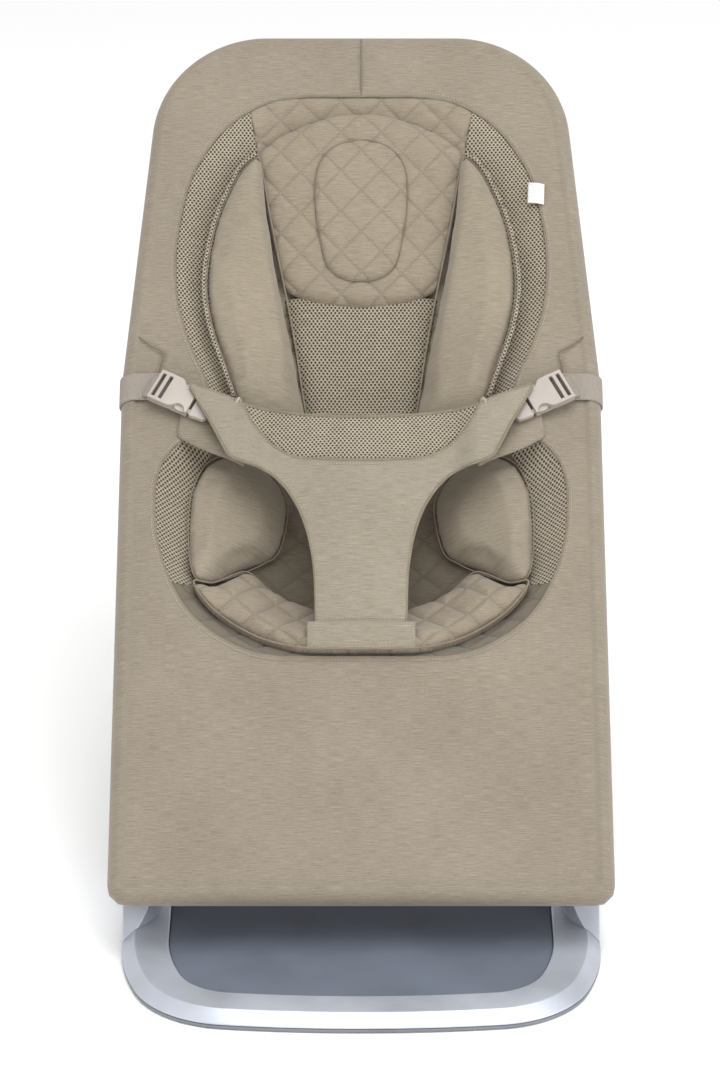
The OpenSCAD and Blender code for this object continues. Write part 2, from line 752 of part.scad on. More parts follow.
module buckle_socket() {
    buckle_frame() translate([0, -buckle_w / 2, 0]) difference() {
        union() {
            cube([ladder_len, buckle_w, 4.5]);
            translate([ladder_len - eps, 0, 0]) cube([socket_len - ladder_len, buckle_w, buckle_t]);
        }
        for (x = [3, 9]) translate([x, 3, -1]) cube([slot_w, buckle_w - 6, buckle_t]);
        translate([ladder_len + 3, 2.5, 2]) cube([socket_len, buckle_w - 5, buckle_t - 4]);
        for (y = [-1, buckle_w - 3]) translate([ladder_len + 8, y, 2])
            cube([9, 4, buckle_t - 4]);
    }
}

module buckle_tongue() {
    buckle_frame() translate([socket_len + 0.4, -buckle_w / 2, 0]) {
        translate([0, 1, 0.5]) cube([buckle_len - socket_len - 0.4, buckle_w - 2, buckle_t - 1.5]);
        for (y = [3, buckle_w - 8]) translate([-prong_reach, y, 2.5])
            cube([prong_reach + 1, 5, buckle_t - 5]);
        translate([-prong_reach + 3, buckle_w / 2 - 2.5, 3]) cube([prong_reach, 5, buckle_t - 6]);
    }
}

module webbing() {
    low = -webbing_w / 2 - 11;
    high = low + webbing_w;
    side = function (s) outer_x(s) + lie_gap / grade_x;
    over = function (s) side(s) + webbing_t / grade_x;
    rows = steps(low, high, 4);
    sheet(rows, 3, function (s) 172, over, function (x, s) webbing_h, function (u, v) webbing_t);
    sheet(rows, 1, side, over, function (x, s) -webbing_h - webbing_t,
        function (u, v) 2 * (webbing_h + webbing_t));
    sheet(rows, 2, function (s) 165, over, function (x, s) -webbing_h - webbing_t,
        function (u, v) webbing_t);
}

base_ring();
base_sole();
base_panel();
rubber_feet();
base_screws();
color("silver") sided(1) placed() knuckle();  // knuckle_left
color("silver") placed() knuckle();  // knuckle_right
color("white") sided(1) placed() shaft_bush();  // shaft_bush_left
color("white") placed() shaft_bush();  // shaft_bush_right
cross_shaft();
color("gray") sided(1) placed() recline_drum();  // recline_drum_left
color("gray") placed() recline_drum();  // recline_drum_right
color("black") sided(1) placed() torsion_bush();  // torsion_bush_left
color("black") placed() torsion_bush();  // torsion_bush_right
color("dimgray") sided(1) placed() release_button();  // release_button_left
color("dimgray") placed() release_button();  // release_button_right
color("gray") sided(1) placed() lock_gear();  // lock_gear_left
color("gray") placed() lock_gear();  // lock_gear_right
color("silver") sided(1) placed() button_spring();  // button_spring_left
color("silver") placed() button_spring();  // button_spring_right
color("silver") sided(1) lower_frame() arm();  // arm_left
color("silver") lower_frame() arm();  // arm_right
arm_bolts();
color("silver") sided(1) lower_frame() side_tube();  // side_tube_left
color("silver") lower_frame() side_tube();  // side_tube_right
front_tube();
color("dimgray") sided(1) lower_frame() corner();  // corner_left
color("dimgray") lower_frame() corner();  // corner_right
color("silver") sided(1) upper_frame() upper_leg();  // upper_leg_left
color("silver") upper_frame() upper_leg();  // upper_leg_right
head_tube();
color("dimgray") sided(1) elbow();  // elbow_left
color("dimgray") elbow();  // elbow_right
elbow_rivets();
cover_front();
cover_back();
zip_tape();
zip_slider();
side_tag();
pan_back();
pan_seat();
color("darkkhaki") sided(1) pan_mesh();  // pan_mesh_left
color("darkkhaki") pan_mesh();  // pan_mesh_right
insert_centre();
head_rest();
head_pillow();
color("tan") sided(1) insert_wing();  // insert_wing_left
color("tan") insert_wing();  // insert_wing_right
color("tan") sided(1) hip_wing();  // hip_wing_left
color("tan") hip_wing();  // hip_wing_right
thigh_cushion();
belt_panel();
waist_pad();
crotch_band();
color("rosybrown") sided(1) webbing();  // webbing_left
color("rosybrown") webbing();  // webbing_right
color("thistle") sided(1) buckle_socket();  // buckle_socket_left
color("thistle") buckle_socket();  // buckle_socket_right
color("thistle") sided(1) buckle_tongue();  // buckle_tongue_left
color("thistle") buckle_tongue();  // buckle_tongue_right
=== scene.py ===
"""Dresses the bouncer seat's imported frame: floor ring, hubs, stretched cover, padded insert, harness.

Cloth is drawn on the seat's own sewing pattern: x runs across, s along the frame from its bend
(minus towards the feet), and h stands square to the frame, above the middle of its tubes.
"""

import enum
import json
import logging
import math
from collections.abc import Callable, Sequence
from dataclasses import dataclass, field

import bmesh
import bpy
import numpy as np
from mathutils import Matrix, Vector
from mathutils.geometry import tessellate_polygon

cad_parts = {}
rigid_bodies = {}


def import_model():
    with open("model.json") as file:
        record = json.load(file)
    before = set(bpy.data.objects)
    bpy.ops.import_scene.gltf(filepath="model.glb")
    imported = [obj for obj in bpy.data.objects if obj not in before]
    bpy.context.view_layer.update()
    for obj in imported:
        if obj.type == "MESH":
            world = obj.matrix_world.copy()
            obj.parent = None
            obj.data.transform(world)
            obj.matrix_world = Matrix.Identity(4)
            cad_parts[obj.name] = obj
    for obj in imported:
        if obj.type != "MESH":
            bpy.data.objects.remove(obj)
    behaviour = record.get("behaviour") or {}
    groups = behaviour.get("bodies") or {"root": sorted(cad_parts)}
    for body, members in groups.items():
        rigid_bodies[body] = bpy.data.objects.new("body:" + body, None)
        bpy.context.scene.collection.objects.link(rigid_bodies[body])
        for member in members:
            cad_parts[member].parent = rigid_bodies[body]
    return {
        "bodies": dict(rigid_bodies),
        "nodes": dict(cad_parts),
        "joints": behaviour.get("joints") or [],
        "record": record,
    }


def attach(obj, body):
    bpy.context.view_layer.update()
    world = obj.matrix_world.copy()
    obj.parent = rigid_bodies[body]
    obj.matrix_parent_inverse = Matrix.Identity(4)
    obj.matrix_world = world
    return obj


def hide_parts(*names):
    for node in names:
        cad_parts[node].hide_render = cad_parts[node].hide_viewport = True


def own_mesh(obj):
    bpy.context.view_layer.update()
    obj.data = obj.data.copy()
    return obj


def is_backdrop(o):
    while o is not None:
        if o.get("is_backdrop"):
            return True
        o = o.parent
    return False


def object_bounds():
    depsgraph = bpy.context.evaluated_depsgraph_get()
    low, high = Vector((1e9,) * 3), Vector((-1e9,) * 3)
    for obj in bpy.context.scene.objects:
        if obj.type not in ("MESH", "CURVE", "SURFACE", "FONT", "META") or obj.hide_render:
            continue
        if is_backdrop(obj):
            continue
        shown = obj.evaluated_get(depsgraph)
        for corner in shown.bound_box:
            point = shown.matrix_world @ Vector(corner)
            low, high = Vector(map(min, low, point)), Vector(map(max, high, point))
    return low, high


Array = np.ndarray
Field = Callable[[Array, Array], Array]
MM = 0.001
LOG = logging.getLogger("bouncer")


class Body(enum.Enum):
    """The rigid bodies of the seat."""

    BASE = "base"
    CARRIER = "carrier"
    SEAT = "seat"
    TONGUE_LEFT = "tongue_left"
    TONGUE_RIGHT = "tongue_right"
    BUTTON_LEFT = "button_left"
    BUTTON_RIGHT = "button_right"
    ZIP = "zip_slider"


class Side(enum.Enum):
    """Left and right as seen from the front."""

    LEFT = -1
    RIGHT = 1

    @property
    def word(self) -> str:
        """The side as part names spell it."""
        return self.name.lower()


# --- Curves and the sewing pattern ---------------------------------------------------------------


@dataclass(frozen=True)
class Curve:
    """A smooth curve through fixed points that never swings past them."""

    points: tuple[tuple[float, float], ...]

    def __call__(self, t: Array) -> Array:
        """Cubic Hermite spans whose slopes are the harmonic mean of the spans beside them.

        Args:
            t: places along the first coordinate.

        Returns:
            The second coordinate at each place, held at its end values outside the points.
        """
        x, y = np.array(self.points, float).T
        w = np.diff(x)
        g = np.diff(y) / w
        both = g[:-1] * g[1:]
        mid = np.where(both <= 0, 0.0, 2 * both / np.where(both <= 0, 1.0, g[:-1] + g[1:]))
        m = np.concatenate([g[:1], mid, g[-1:]])
        t = np.asarray(t, float)
        i = np.clip(np.searchsorted(x, t, side="right") - 1, 0, len(w) - 1)
        q = np.clip((t - x[i]) / w[i], 0, 1)
        return (
            (2 * q**3 - 3 * q**2 + 1) * y[i]
            + (q**3 - 2 * q**2 + q) * m[i] * w[i]
            + (3 * q**2 - 2 * q**3) * y[i + 1]
            + (q**3 - q**2) * m[i + 1] * w[i]
        )


@dataclass(frozen=True)
class Pattern:
    """The sewing pattern and how it lies in space, in millimetres and degrees."""

    half_width: float = 214.0
    lower_len: float = 506.0
    upper_len: float = 330.0
    lower_angle: float = 36.0
    upper_angle: float = 46.0
    leg_tilt: float = 5.5
    bend_radius: float = 91.0
    cover_out: float = 13.8
    front_y: float = 135.0
    front_z: float = 64.0
    depth: float = 793.113
    hollow: float = 74.0
    pan_t: float = 4.0
    seam: Curve = Curve(
        ((-288, 70), (-284, 92), (-276, 110), (-262, 131), (-245, 148), (-222, 162), (-190, 174),
         (-153, 181), (-120, 182), (-95, 178), (-76, 168), (-60, 153), (-35, 139), (-13, 137),
         (-2, 139), (19, 148), (50, 159), (81, 166), (112, 168), (133, 167), (162, 163), (186, 158),
         (206, 151), (224, 141), (239, 131), (254, 117), (265, 102), (274, 84), (278, 67), (280, 48))
    )
    quilt: Curve = Curve(
        ((-288, 69.5), (-284, 91.5), (-276, 109.5), (-262, 130.5), (-245, 147.5), (-222, 161.5),
         (-212, 165), (-205, 148), (-100, 146), (-35, 118), (40, 100), (160, 92), (221, 94),
         (250, 99), (264, 101), (274, 83.5), (278, 66.5), (280, 47.5))
    )
    deep: Curve = Curve(
        ((-288, 0), (-262, 0.42), (-225, 0.8), (-160, 1), (-90, 1), (0, 0.82), (110, 0.5),
         (200, 0.24), (280, 0))
    )

    @property
    def frame_x(self) -> float:
        """Half the distance between the side tubes' centres."""
        return self.half_width - self.cover_out

    def angle(self, s: Array) -> Array:
        """The frame's slope in radians, turning evenly through the bend."""
        half = (self.upper_angle - self.lower_angle) / 2
        return np.radians(self.lower_angle + half + half * np.clip(s / 60, -1, 1))

    def _bend(self) -> tuple[float, float]:
        """The frame's bend, behind the middle and above the floor."""
        a = math.radians(self.lower_angle)
        y = self.front_y + self.lower_len * math.cos(a) - self.depth / 2
        return y, self.front_z + self.lower_len * math.sin(a)

    def place(self, x: Array, s: Array, h: Array) -> Array:
        """Pattern points in the row frame: along the tubes' own slope by s, then by h square to
        the cloth's slope, which turns through the bend.

        Args:
            x: across.
            s: along the frame.
            h: above the middle of the tubes.

        Returns:
            Points in metres, with one more axis than the inputs.
        """
        x, s, h = np.broadcast_arrays(*(np.asarray(v, float) for v in (x, s, h)))
        a, b, (y, z) = self.angle(s), self.tube_angle(s), self._bend()
        rows = [x, y + s * np.cos(b) - h * np.sin(a), z + s * np.sin(b) + h * np.cos(a)]
        return np.stack(rows, -1) * MM

    def tube_angle(self, s: Array) -> Array:
        """The tubes' slope in radians, which changes at once at the bend."""
        return np.radians(np.where(np.asarray(s) < 0, self.lower_angle, self.upper_angle))

    def unplace(self, points: Array) -> tuple[Array, Array, Array]:
        """Pattern coordinates of points, found by turning back the slopes at each one's own s.

        Args:
            points: metres, in the row frame.

        Returns:
            x, s and h in millimetres.
        """
        p = np.asarray(points, float) / MM
        y, z = self._bend()
        dy, dz = p[..., 1] - y, p[..., 2] - z
        s = dy * math.cos(math.radians(41)) + dz * math.sin(math.radians(41))
        for _ in range(10):
            a, b = self.angle(s), self.tube_angle(s)
            s = (dy * np.cos(a) + dz * np.sin(a)) / np.cos(b - a)
        a, b = self.angle(s), self.tube_angle(s)
        return p[..., 0], s, (dz * np.cos(b) - dy * np.sin(b)) / np.cos(a - b)

    def pan_h(self, x: Array, s: Array) -> Array:
        """The pan's upper face: the hollow's depth, fading out towards the seam by a power of 2.6."""
        share = np.minimum(1, np.abs(x) / self.seam(s))
        return self.cover_out - self.hollow * self.deep(s) * (1 - share**2.6)


PATTERN = Pattern()


def resample(points: Array, count: int, closed: bool = False) -> Array:
    """Points at even steps along a polyline.

    Args:
        points: one point a row.
        count: how many points come back.
        closed: the line runs back to its first point, which isn't repeated.

    Returns:
        count points.
    """
    p = np.asarray(points, float)
    if closed:
        p = np.vstack([p, p[:1]])
    run = np.concatenate([[0], np.cumsum(np.linalg.norm(np.diff(p, axis=0), axis=1))])
    t = np.linspace(0, run[-1], count + 1)[:-1] if closed else np.linspace(0, run[-1], count)
    return np.stack([np.interp(t, run, c) for c in p.T], -1)


def rounded(points: Sequence[tuple[float, float]], count: int, closed: bool = True) -> Array:
    """A Catmull-Rom curve through points, at even steps.

    Args:
        points: the corners it passes through.
        count: how many points come back.
        closed: whether it closes on itself.

    Returns:
        count points.
    """
    p = np.array(points, float)
    if closed:
        a, b, c, d = (np.roll(p, k, axis=0) for k in (1, 0, -1, -2))
    else:
        e = np.vstack([2 * p[0] - p[1], p, 2 * p[-1] - p[-2]])
        a, b, c, d = e[:-3], e[1:-2], e[2:-1], e[3:]
    t = np.linspace(0, 1, 16, endpoint=False)[None, :, None]
    a, b, c, d = (v[:, None] for v in (a, b, c, d))
    fine = 0.5 * (
        2 * b + (c - a) * t + (2 * a - 5 * b + 4 * c - d) * t**2 + (3 * b - a - 3 * c + d) * t**3
    )
    fine = fine.reshape(-1, p.shape[1])
    if not closed:
        fine = np.vstack([fine, p[-1:]])
    return resample(fine, count, closed)


def mirrored(half: Sequence[tuple[float, float]]) -> list[tuple[float, float]]:
    """A closed outline from its right half, which starts and ends on the middle line."""
    return list(half) + [(-x, s) for x, s in list(half)[-2:0:-1]]


def to_line(x: Array, s: Array, line: Array) -> Array:
    """Distance from each place to the nearest point of a polyline."""
    a, b = line[:-1], line[1:]
    d = b - a
    p = np.stack([np.asarray(x, float), np.asarray(s, float)], -1)[..., None, :]
    t = np.clip(((p - a) * d).sum(-1) / np.maximum((d**2).sum(-1), 1e-9), 0, 1)
    return np.linalg.norm(p - (a + t[..., None] * d), axis=-1).min(-1)


# --- Meshes --------------------------------------------------------------------------------------


def new_mesh(name: str, verts: Array, faces: Array, uv: Array | None = None) -> bpy.types.Object:
    """A smooth-shaded mesh object.

    Args:
        name: the piece's name.
        verts: points in metres.
        faces: corner numbers, one face a row.
        uv: one place a point, in metres of cloth.

    Returns:
        The object, in the scene's collection.
    """
    mesh = bpy.data.meshes.new(name)
    mesh.from_pydata(verts.reshape(-1, 3).tolist(), [], faces.tolist())
    if uv is not None:
        layer = mesh.uv_layers.new(name="cloth")
        corners = np.zeros(len(mesh.loops), np.int32)
        mesh.loops.foreach_get("vertex_index", corners)
        layer.data.foreach_set("uv", uv.reshape(-1, 2)[corners].astype(np.float32).ravel())
    mesh.shade_smooth()
    obj = bpy.data.objects.new(name, mesh)
    bpy.context.scene.collection.objects.link(obj)
    return obj


def tidy_mesh(obj: bpy.types.Object, closed: bool, towards: Array | None = None) -> None:
    """Merges the doubles of a grid's seams and poles and turns its faces outwards.

    Args:
        obj: the mesh object.
        closed: the surface has an inside.
        towards: for an open sheet, the direction its faces look.
    """
    bm = bmesh.new()
    bm.from_mesh(obj.data)
    bmesh.ops.remove_doubles(bm, verts=bm.verts, dist=2e-6)
    bmesh.ops.dissolve_degenerate(bm, dist=1e-7, edges=bm.edges)
    if closed:
        bmesh.ops.recalc_face_normals(bm, faces=bm.faces)
    elif towards is not None:
        total = sum((f.normal * f.calc_area() for f in bm.faces), Vector())
        if total.dot(Vector(towards)) < 0:
            bmesh.ops.reverse_faces(bm, faces=bm.faces)
    bm.to_mesh(obj.data)
    bm.free()


def grid(
    name: str, points: Array, uv: Array, closed: bool = False, towards: Array | None = None
) -> bpy.types.Object:
    """A surface of quads over a grid of points: each face joins a point to the next in its row,
    the next row's, and the next row's own.

    Args:
        name: the piece's name.
        points: rows by columns by three.
        uv: rows by columns by two.
        closed: the grid's edges meet, so it has an inside.
        towards: for an open sheet, the direction its faces look.

    Returns:
        The object.
    """
    n, m = points.shape[:2]
    i = np.arange(n * m).reshape(n, m)
    quads = np.stack([i[:-1, :-1], i[:-1, 1:], i[1:, 1:], i[1:, :-1]], -1).reshape(-1, 4)
    obj = new_mesh(name, points, quads, uv)
    tidy_mesh(obj, closed, towards)
    return obj


def cloth_grid(
    name: str, x: Array, s: Array, h: Array, thickness: float
) -> bpy.types.Object:
    """An open sheet of cloth laid on the pattern, its wall below its face.

    Args:
        name: the piece's name.
        x: across, as a grid.
        s: along, as a grid.
        h: the face's height, as a grid.
        thickness: of the cloth, in millimetres.

    Returns:
        The object.
    """
    uv = np.stack(np.broadcast_arrays(x, s), -1) * MM
    obj = grid(name, PATTERN.place(x, s, h), uv, towards=np.array([0, -0.65, 0.75]))
    solidify(obj, thickness)
    return obj


def solidify(obj: bpy.types.Object, thickness: float) -> None:
    """Gives an open sheet its wall, below its face, in millimetres."""
    wall = obj.modifiers.new("wall", "SOLIDIFY")
    wall.thickness = thickness * MM
    wall.offset = -1
    wall.use_rim = True


def tube(
    name: str, path: Array, radius: float, sides: int = 10, closed: bool = False,
    twist: float = 0.0, lobes: int = 0,
) -> bpy.types.Object:
    """A round cord carried along a path: each ring lies square to the path's direction, and its
    radius swells by a tenth times the cosine of lobes times the angle, which turns with the run.

    Args:
        name: the piece's name.
        path: centre points in metres.
        radius: in millimetres.
        sides: points round each ring.
        closed: the path runs back to its start.
        twist: turns of the lobes for each millimetre of run.
        lobes: strands showing round the cord.

    Returns:
        The object.
    """
    p = np.asarray(path, float)
    if closed:
        p = np.vstack([p, p[:1]])
    d = np.gradient(p, axis=0)
    if closed:
        d[0] = d[-1] = p[1] - p[-2]
    d /= np.maximum(np.linalg.norm(d, axis=1, keepdims=True), 1e-12)
    up = np.array([0.0, -0.656, 0.755])
    side = np.cross(d, up)
    side /= np.maximum(np.linalg.norm(side, axis=1, keepdims=True), 1e-9)
    lift = np.cross(side, d)
    run = np.concatenate([[0], np.cumsum(np.linalg.norm(np.diff(p, axis=0), axis=1))]) / MM
    a = np.linspace(0, 2 * np.pi, sides + 1)[None, :]
    r = radius * MM * (1 + (0.16 * np.cos(lobes * (a - 2 * np.pi * twist * run[:, None])) if lobes else 0))
    r = np.broadcast_to(r, (len(p), sides + 1))[..., None]
    ring = p[:, None] + r * (np.cos(a)[..., None] * side[:, None] + np.sin(a)[..., None] * lift[:, None])
    uv = np.stack([np.broadcast_to(run[:, None] * MM, ring.shape[:2]),
                   np.broadcast_to(a * radius * MM, ring.shape[:2])], -1)
    if not closed:
        ring = np.concatenate([np.repeat(p[:1, None], sides + 1, 1), ring,
                               np.repeat(p[-1:, None], sides + 1, 1)])
        uv = np.concatenate([uv[:1], uv, uv[-1:]])
    return grid(name, ring, uv, closed=True)


def stitches(
    name: str, path: Array, normal: Array, pitch: float = 2.6, length: float = 1.9,
    radius: float = 0.28,
) -> bpy.types.Object:
    """A row of stitches: slim eight-sided beads, one every pitch along a path, half sunk.

    Args:
        name: the piece's name.
        path: in metres.
        normal: the cloth's outward direction, for the whole row or at each point.
        pitch: from one stitch to the next, in millimetres.
        length: of each stitch.
        radius: of the thread.

    Returns:
        The object.
    """
    run = np.linalg.norm(np.diff(path, axis=0), axis=1).sum() / MM
    count = max(2, int(run / pitch))
    p = resample(path, count)
    d = np.gradient(p, axis=0)
    d /= np.linalg.norm(d, axis=1, keepdims=True)
    n = np.broadcast_to(normal, p.shape) if np.ndim(normal) == 1 else resample(normal, count)
    side = np.cross(d, n)
    side /= np.maximum(np.linalg.norm(side, axis=1, keepdims=True), 1e-9)
    half, r = length * MM / 2, radius * MM
    along = np.array([-1, -0.55, -0.55, -0.55, -0.55, 0.55, 0.55, 0.55, 0.55, 1]) * half
    wide = np.array([0, 1, 0, -1, 0, 1, 0, -1, 0, 0]) * r
    high = np.array([0, 0, 1, 0, -1, 0, 1, 0, -1, 0]) * r
    verts = (p[:, None] + along[None, :, None] * d[:, None] + wide[None, :, None] * side[:, None]
             + high[None, :, None] * n[:, None])
    cap = [[0, 2, 1], [0, 3, 2], [0, 4, 3], [0, 1, 4], [9, 5, 6], [9, 6, 7], [9, 7, 8], [9, 8, 5],
           [1, 2, 6], [1, 6, 5], [2, 3, 7], [2, 7, 6], [3, 4, 8], [3, 8, 7], [4, 1, 5], [4, 5, 8]]
    faces = (np.array(cap)[None] + 10 * np.arange(count)[:, None, None]).reshape(-1, 3)
    obj = new_mesh(name, verts, faces, np.zeros((count * 10, 2)))
    tidy_mesh(obj, True)
    return obj


def soften_edges(obj: bpy.types.Object, bevel: float, segments: int) -> None:
    """Rounds an object's hard edges and evens its shading."""
    soft = obj.modifiers.new("edges", "BEVEL")
    soft.width, soft.segments = bevel * MM, segments
    soft.limit_method, soft.angle_limit = "ANGLE", math.radians(28)
    soft.use_clamp_overlap = True
    even = obj.modifiers.new("normals", "WEIGHTED_NORMAL")
    even.keep_sharp = True


def smooth_line(points: Array, steps: int) -> Array:
    """A line with as many points in every span, each coordinate a curve that never overshoots.

    Args:
        points: the corners it passes through.
        steps: points in each span.

    Returns:
        The line, from the first corner to the last.
    """
    t = np.linspace(0, len(points) - 1, (len(points) - 1) * steps + 1)
    return np.stack([Curve(tuple(enumerate(c)))(t) for c in points.T], -1)


def turn_out(obj: bpy.types.Object, centre: Array) -> None:
    """Turns an open sheet's faces away from a point."""
    bm = bmesh.new()
    bm.from_mesh(obj.data)
    middle = Vector(centre)
    if sum((f.calc_center_median() - middle).dot(f.normal) * f.calc_area() for f in bm.faces) < 0:
        bmesh.ops.reverse_faces(bm, faces=bm.faces)
    bm.to_mesh(obj.data)
    bm.free()


def on_pattern(line: Array, h: Array | float) -> Array:
    """A drawn line at a height, in metres in the row frame."""
    return PATTERN.place(line[:, 0], line[:, 1], h)


def pattern_up(line: Array) -> Array:
    """The frame's own outward direction at each point of a drawn line."""
    a = PATTERN.angle(line[:, 1])
    return np.stack([0 * a, -np.sin(a), np.cos(a)], -1)


# --- Finishes ------------------------------------------------------------------------------------


class Nodes:
    """A node tree with short ways to add nodes and join their sockets."""

    def __init__(self, tree: bpy.types.NodeTree) -> None:
        """Keeps the tree."""
        self.tree = tree

    def add(self, kind: str, links: dict[object, object] | None = None,
            **settings: object) -> bpy.types.Node:
        """A node with its settings, and its inputs joined to sockets or set to values.

        Args:
            kind: the node's type name.
            links: input name or number to a socket or a value.
            settings: the node's own properties.

        Returns:
            The node.
        """
        node = self.tree.nodes.new(kind)
        for key, value in settings.items():
            setattr(node, key, value)
        for key, value in (links or {}).items():
            if isinstance(value, bpy.types.NodeSocket):
                self.tree.links.new(value, node.inputs[key])
            else:
                node.inputs[key].default_value = value
        return node

    def math(self, operation: str, a: object, b: object = 0.0, c: object = 0.0) -> bpy.types.NodeSocket:
        """One sum on numbers."""
        return self.add("ShaderNodeMath", {0: a, 1: b, 2: c}, operation=operation).outputs[0]

    def ramp(self, value: object, low: float, high: float, a: float = 0.0,
             b: float = 1.0) -> bpy.types.NodeSocket:
        """A value carried from one range to another, held at both ends."""
        return self.add("ShaderNodeMapRange", {"Value": value, "From Min": low, "From Max": high,
                                               "To Min": a, "To Max": b}).outputs[0]

    def scaled(self, vector: object, scale: tuple[float, float, float],
               turn: float = 0.0) -> bpy.types.NodeSocket:
        """A place stretched, and turned about its third axis in degrees."""
        return self.add("ShaderNodeMapping", {"Vector": vector, "Scale": scale,
                                              "Rotation": (0, 0, math.radians(turn))}).outputs[0]

    def noise(self, vector: object, scale: float, detail: float = 2.0) -> bpy.types.NodeSocket:
        """Smooth noise from 0 to 1."""
        return self.add("ShaderNodeTexNoise",
                        {"Vector": vector, "Scale": scale, "Detail": detail}).outputs["Fac"]

    def mix(self, mask: object, a: object, b: object, blend: str = "MIX") -> bpy.types.NodeSocket:
        """Two colours mixed by a mask."""
        node = self.add("ShaderNodeMix", data_type="RGBA", blend_type=blend)
        for i, value in ((0, mask), (6, a), (7, b)):
            if isinstance(value, bpy.types.NodeSocket):
                self.tree.links.new(value, node.inputs[i])
            else:
                node.inputs[i].default_value = value
        return node.outputs[2]


def group(name: str, inputs: dict[str, tuple[str, object]], outputs: dict[str, str],
          fill: Callable[[Nodes, dict, dict], None]) -> bpy.types.NodeTree:
    """A shader node group, built once under its name.

    Args:
        name: the group's name.
        inputs: input name to its socket type and first value.
        outputs: output name to its socket type.
        fill: makes the nodes, from the tree, the input sockets and a dict that it fills with outputs.

    Returns:
        The group.
    """
    if name in bpy.data.node_groups:
        return bpy.data.node_groups[name]
    tree = bpy.data.node_groups.new(name, "ShaderNodeTree")
    for key, (kind, value) in inputs.items():
        socket = tree.interface.new_socket(key, in_out="INPUT", socket_type=kind)
        if value is not None:
            socket.default_value = value
    for key, kind in outputs.items():
        tree.interface.new_socket(key, in_out="OUTPUT", socket_type=kind)
    nodes = Nodes(tree)
    start, end = nodes.add("NodeGroupInput"), nodes.add("NodeGroupOutput")
    made: dict[str, bpy.types.NodeSocket] = {}
    fill(nodes, {key: start.outputs[key] for key in inputs}, made)
    for key, socket in made.items():
        tree.links.new(socket, end.inputs[key])
    return tree


FLOAT, VECTOR = "NodeSocketFloat", "NodeSocketVector"


def melange_group() -> bpy.types.NodeTree:
    """Long thin streaks of lighter and darker yarn along x, over a fine knit."""
    rib_pitch, column_pitch = 0.0011, 0.0013

    def fill(n: Nodes, i: dict, o: dict) -> None:
        """Two stretched noises for the yarn, a broad one for wear, and crossed waves for the knit."""
        long = n.noise(n.scaled(i["Place"], (70, 1500, 1)), 1.0, 3.0)
        fine = n.noise(n.scaled(i["Place"], (260, 3200, 1)), 1.0, 2.0)
        broad = n.noise(n.scaled(i["Place"], (9, 9, 1)), 1.0, 2.0)
        both = n.math("ADD", n.math("MULTIPLY", long, 0.62), n.math("MULTIPLY", fine, 0.38))
        o["Streak"] = n.ramp(both, 0.4, 0.6)
        o["Broad"] = n.ramp(broad, 0.3, 0.7)
        place = n.add("ShaderNodeSeparateXYZ", {0: i["Place"]}).outputs
        rib = n.math("SINE", n.math("MULTIPLY", place[1], 2 * math.pi / rib_pitch))
        col = n.math("SINE", n.math("MULTIPLY", place[0], 2 * math.pi / column_pitch))
        knit = n.math("MULTIPLY", rib, col)
        o["Height"] = n.math("ADD", n.math("MULTIPLY", knit, 0.35), n.math("MULTIPLY", both, 0.9))

    return group("melange_yarn", {"Place": (VECTOR, None)},
                 {"Streak": FLOAT, "Broad": FLOAT, "Height": FLOAT}, fill)


def quilt_group() -> bpy.types.NodeTree:
    """Crossed stitched lines at 45 degrees: a crease at each line, with short stitches along it."""

    def fill(n: Nodes, i: dict, o: dict) -> None:
        """Turns the place by 45 degrees each way; each coordinate's remainder is the distance to a line."""
        creases, marks = [], []
        for sign in (1, -1):
            parts = n.add("ShaderNodeSeparateXYZ", {0: i["Place"]})
            u = n.math("MULTIPLY", n.math("ADD", parts.outputs[0],
                                          n.math("MULTIPLY", parts.outputs[1], float(sign))), 0.70711)
            v = n.math("MULTIPLY", n.math("SUBTRACT", parts.outputs[0],
                                          n.math("MULTIPLY", parts.outputs[1], float(sign))), 0.70711)
            cell = n.math("DIVIDE", u, i["Pitch"])
            near = n.math("ABSOLUTE", n.math("SUBTRACT", n.math("FRACT", n.math("ADD", cell, 0.5)), 0.5))
            gap = n.math("MULTIPLY", near, i["Pitch"])
            creases.append(n.ramp(gap, 0.0, 0.0016, 1.0, 0.0))
            dash = n.math("ABSOLUTE", n.math("SUBTRACT", n.math("FRACT", n.math("DIVIDE", v, 0.0032)), 0.5))
            marks.append(n.math("MULTIPLY", n.ramp(gap, 0.0003, 0.0006, 1.0, 0.0),
                                n.ramp(dash, 0.28, 0.34, 1.0, 0.0)))
        o["Crease"] = n.math("MAXIMUM", creases[0], creases[1])
        o["Stitch"] = n.math("MAXIMUM", marks[0], marks[1])

    return group("quilt_lines", {"Place": (VECTOR, None), "Pitch": (FLOAT, 0.026)},
                 {"Crease": FLOAT, "Stitch": FLOAT}, fill)


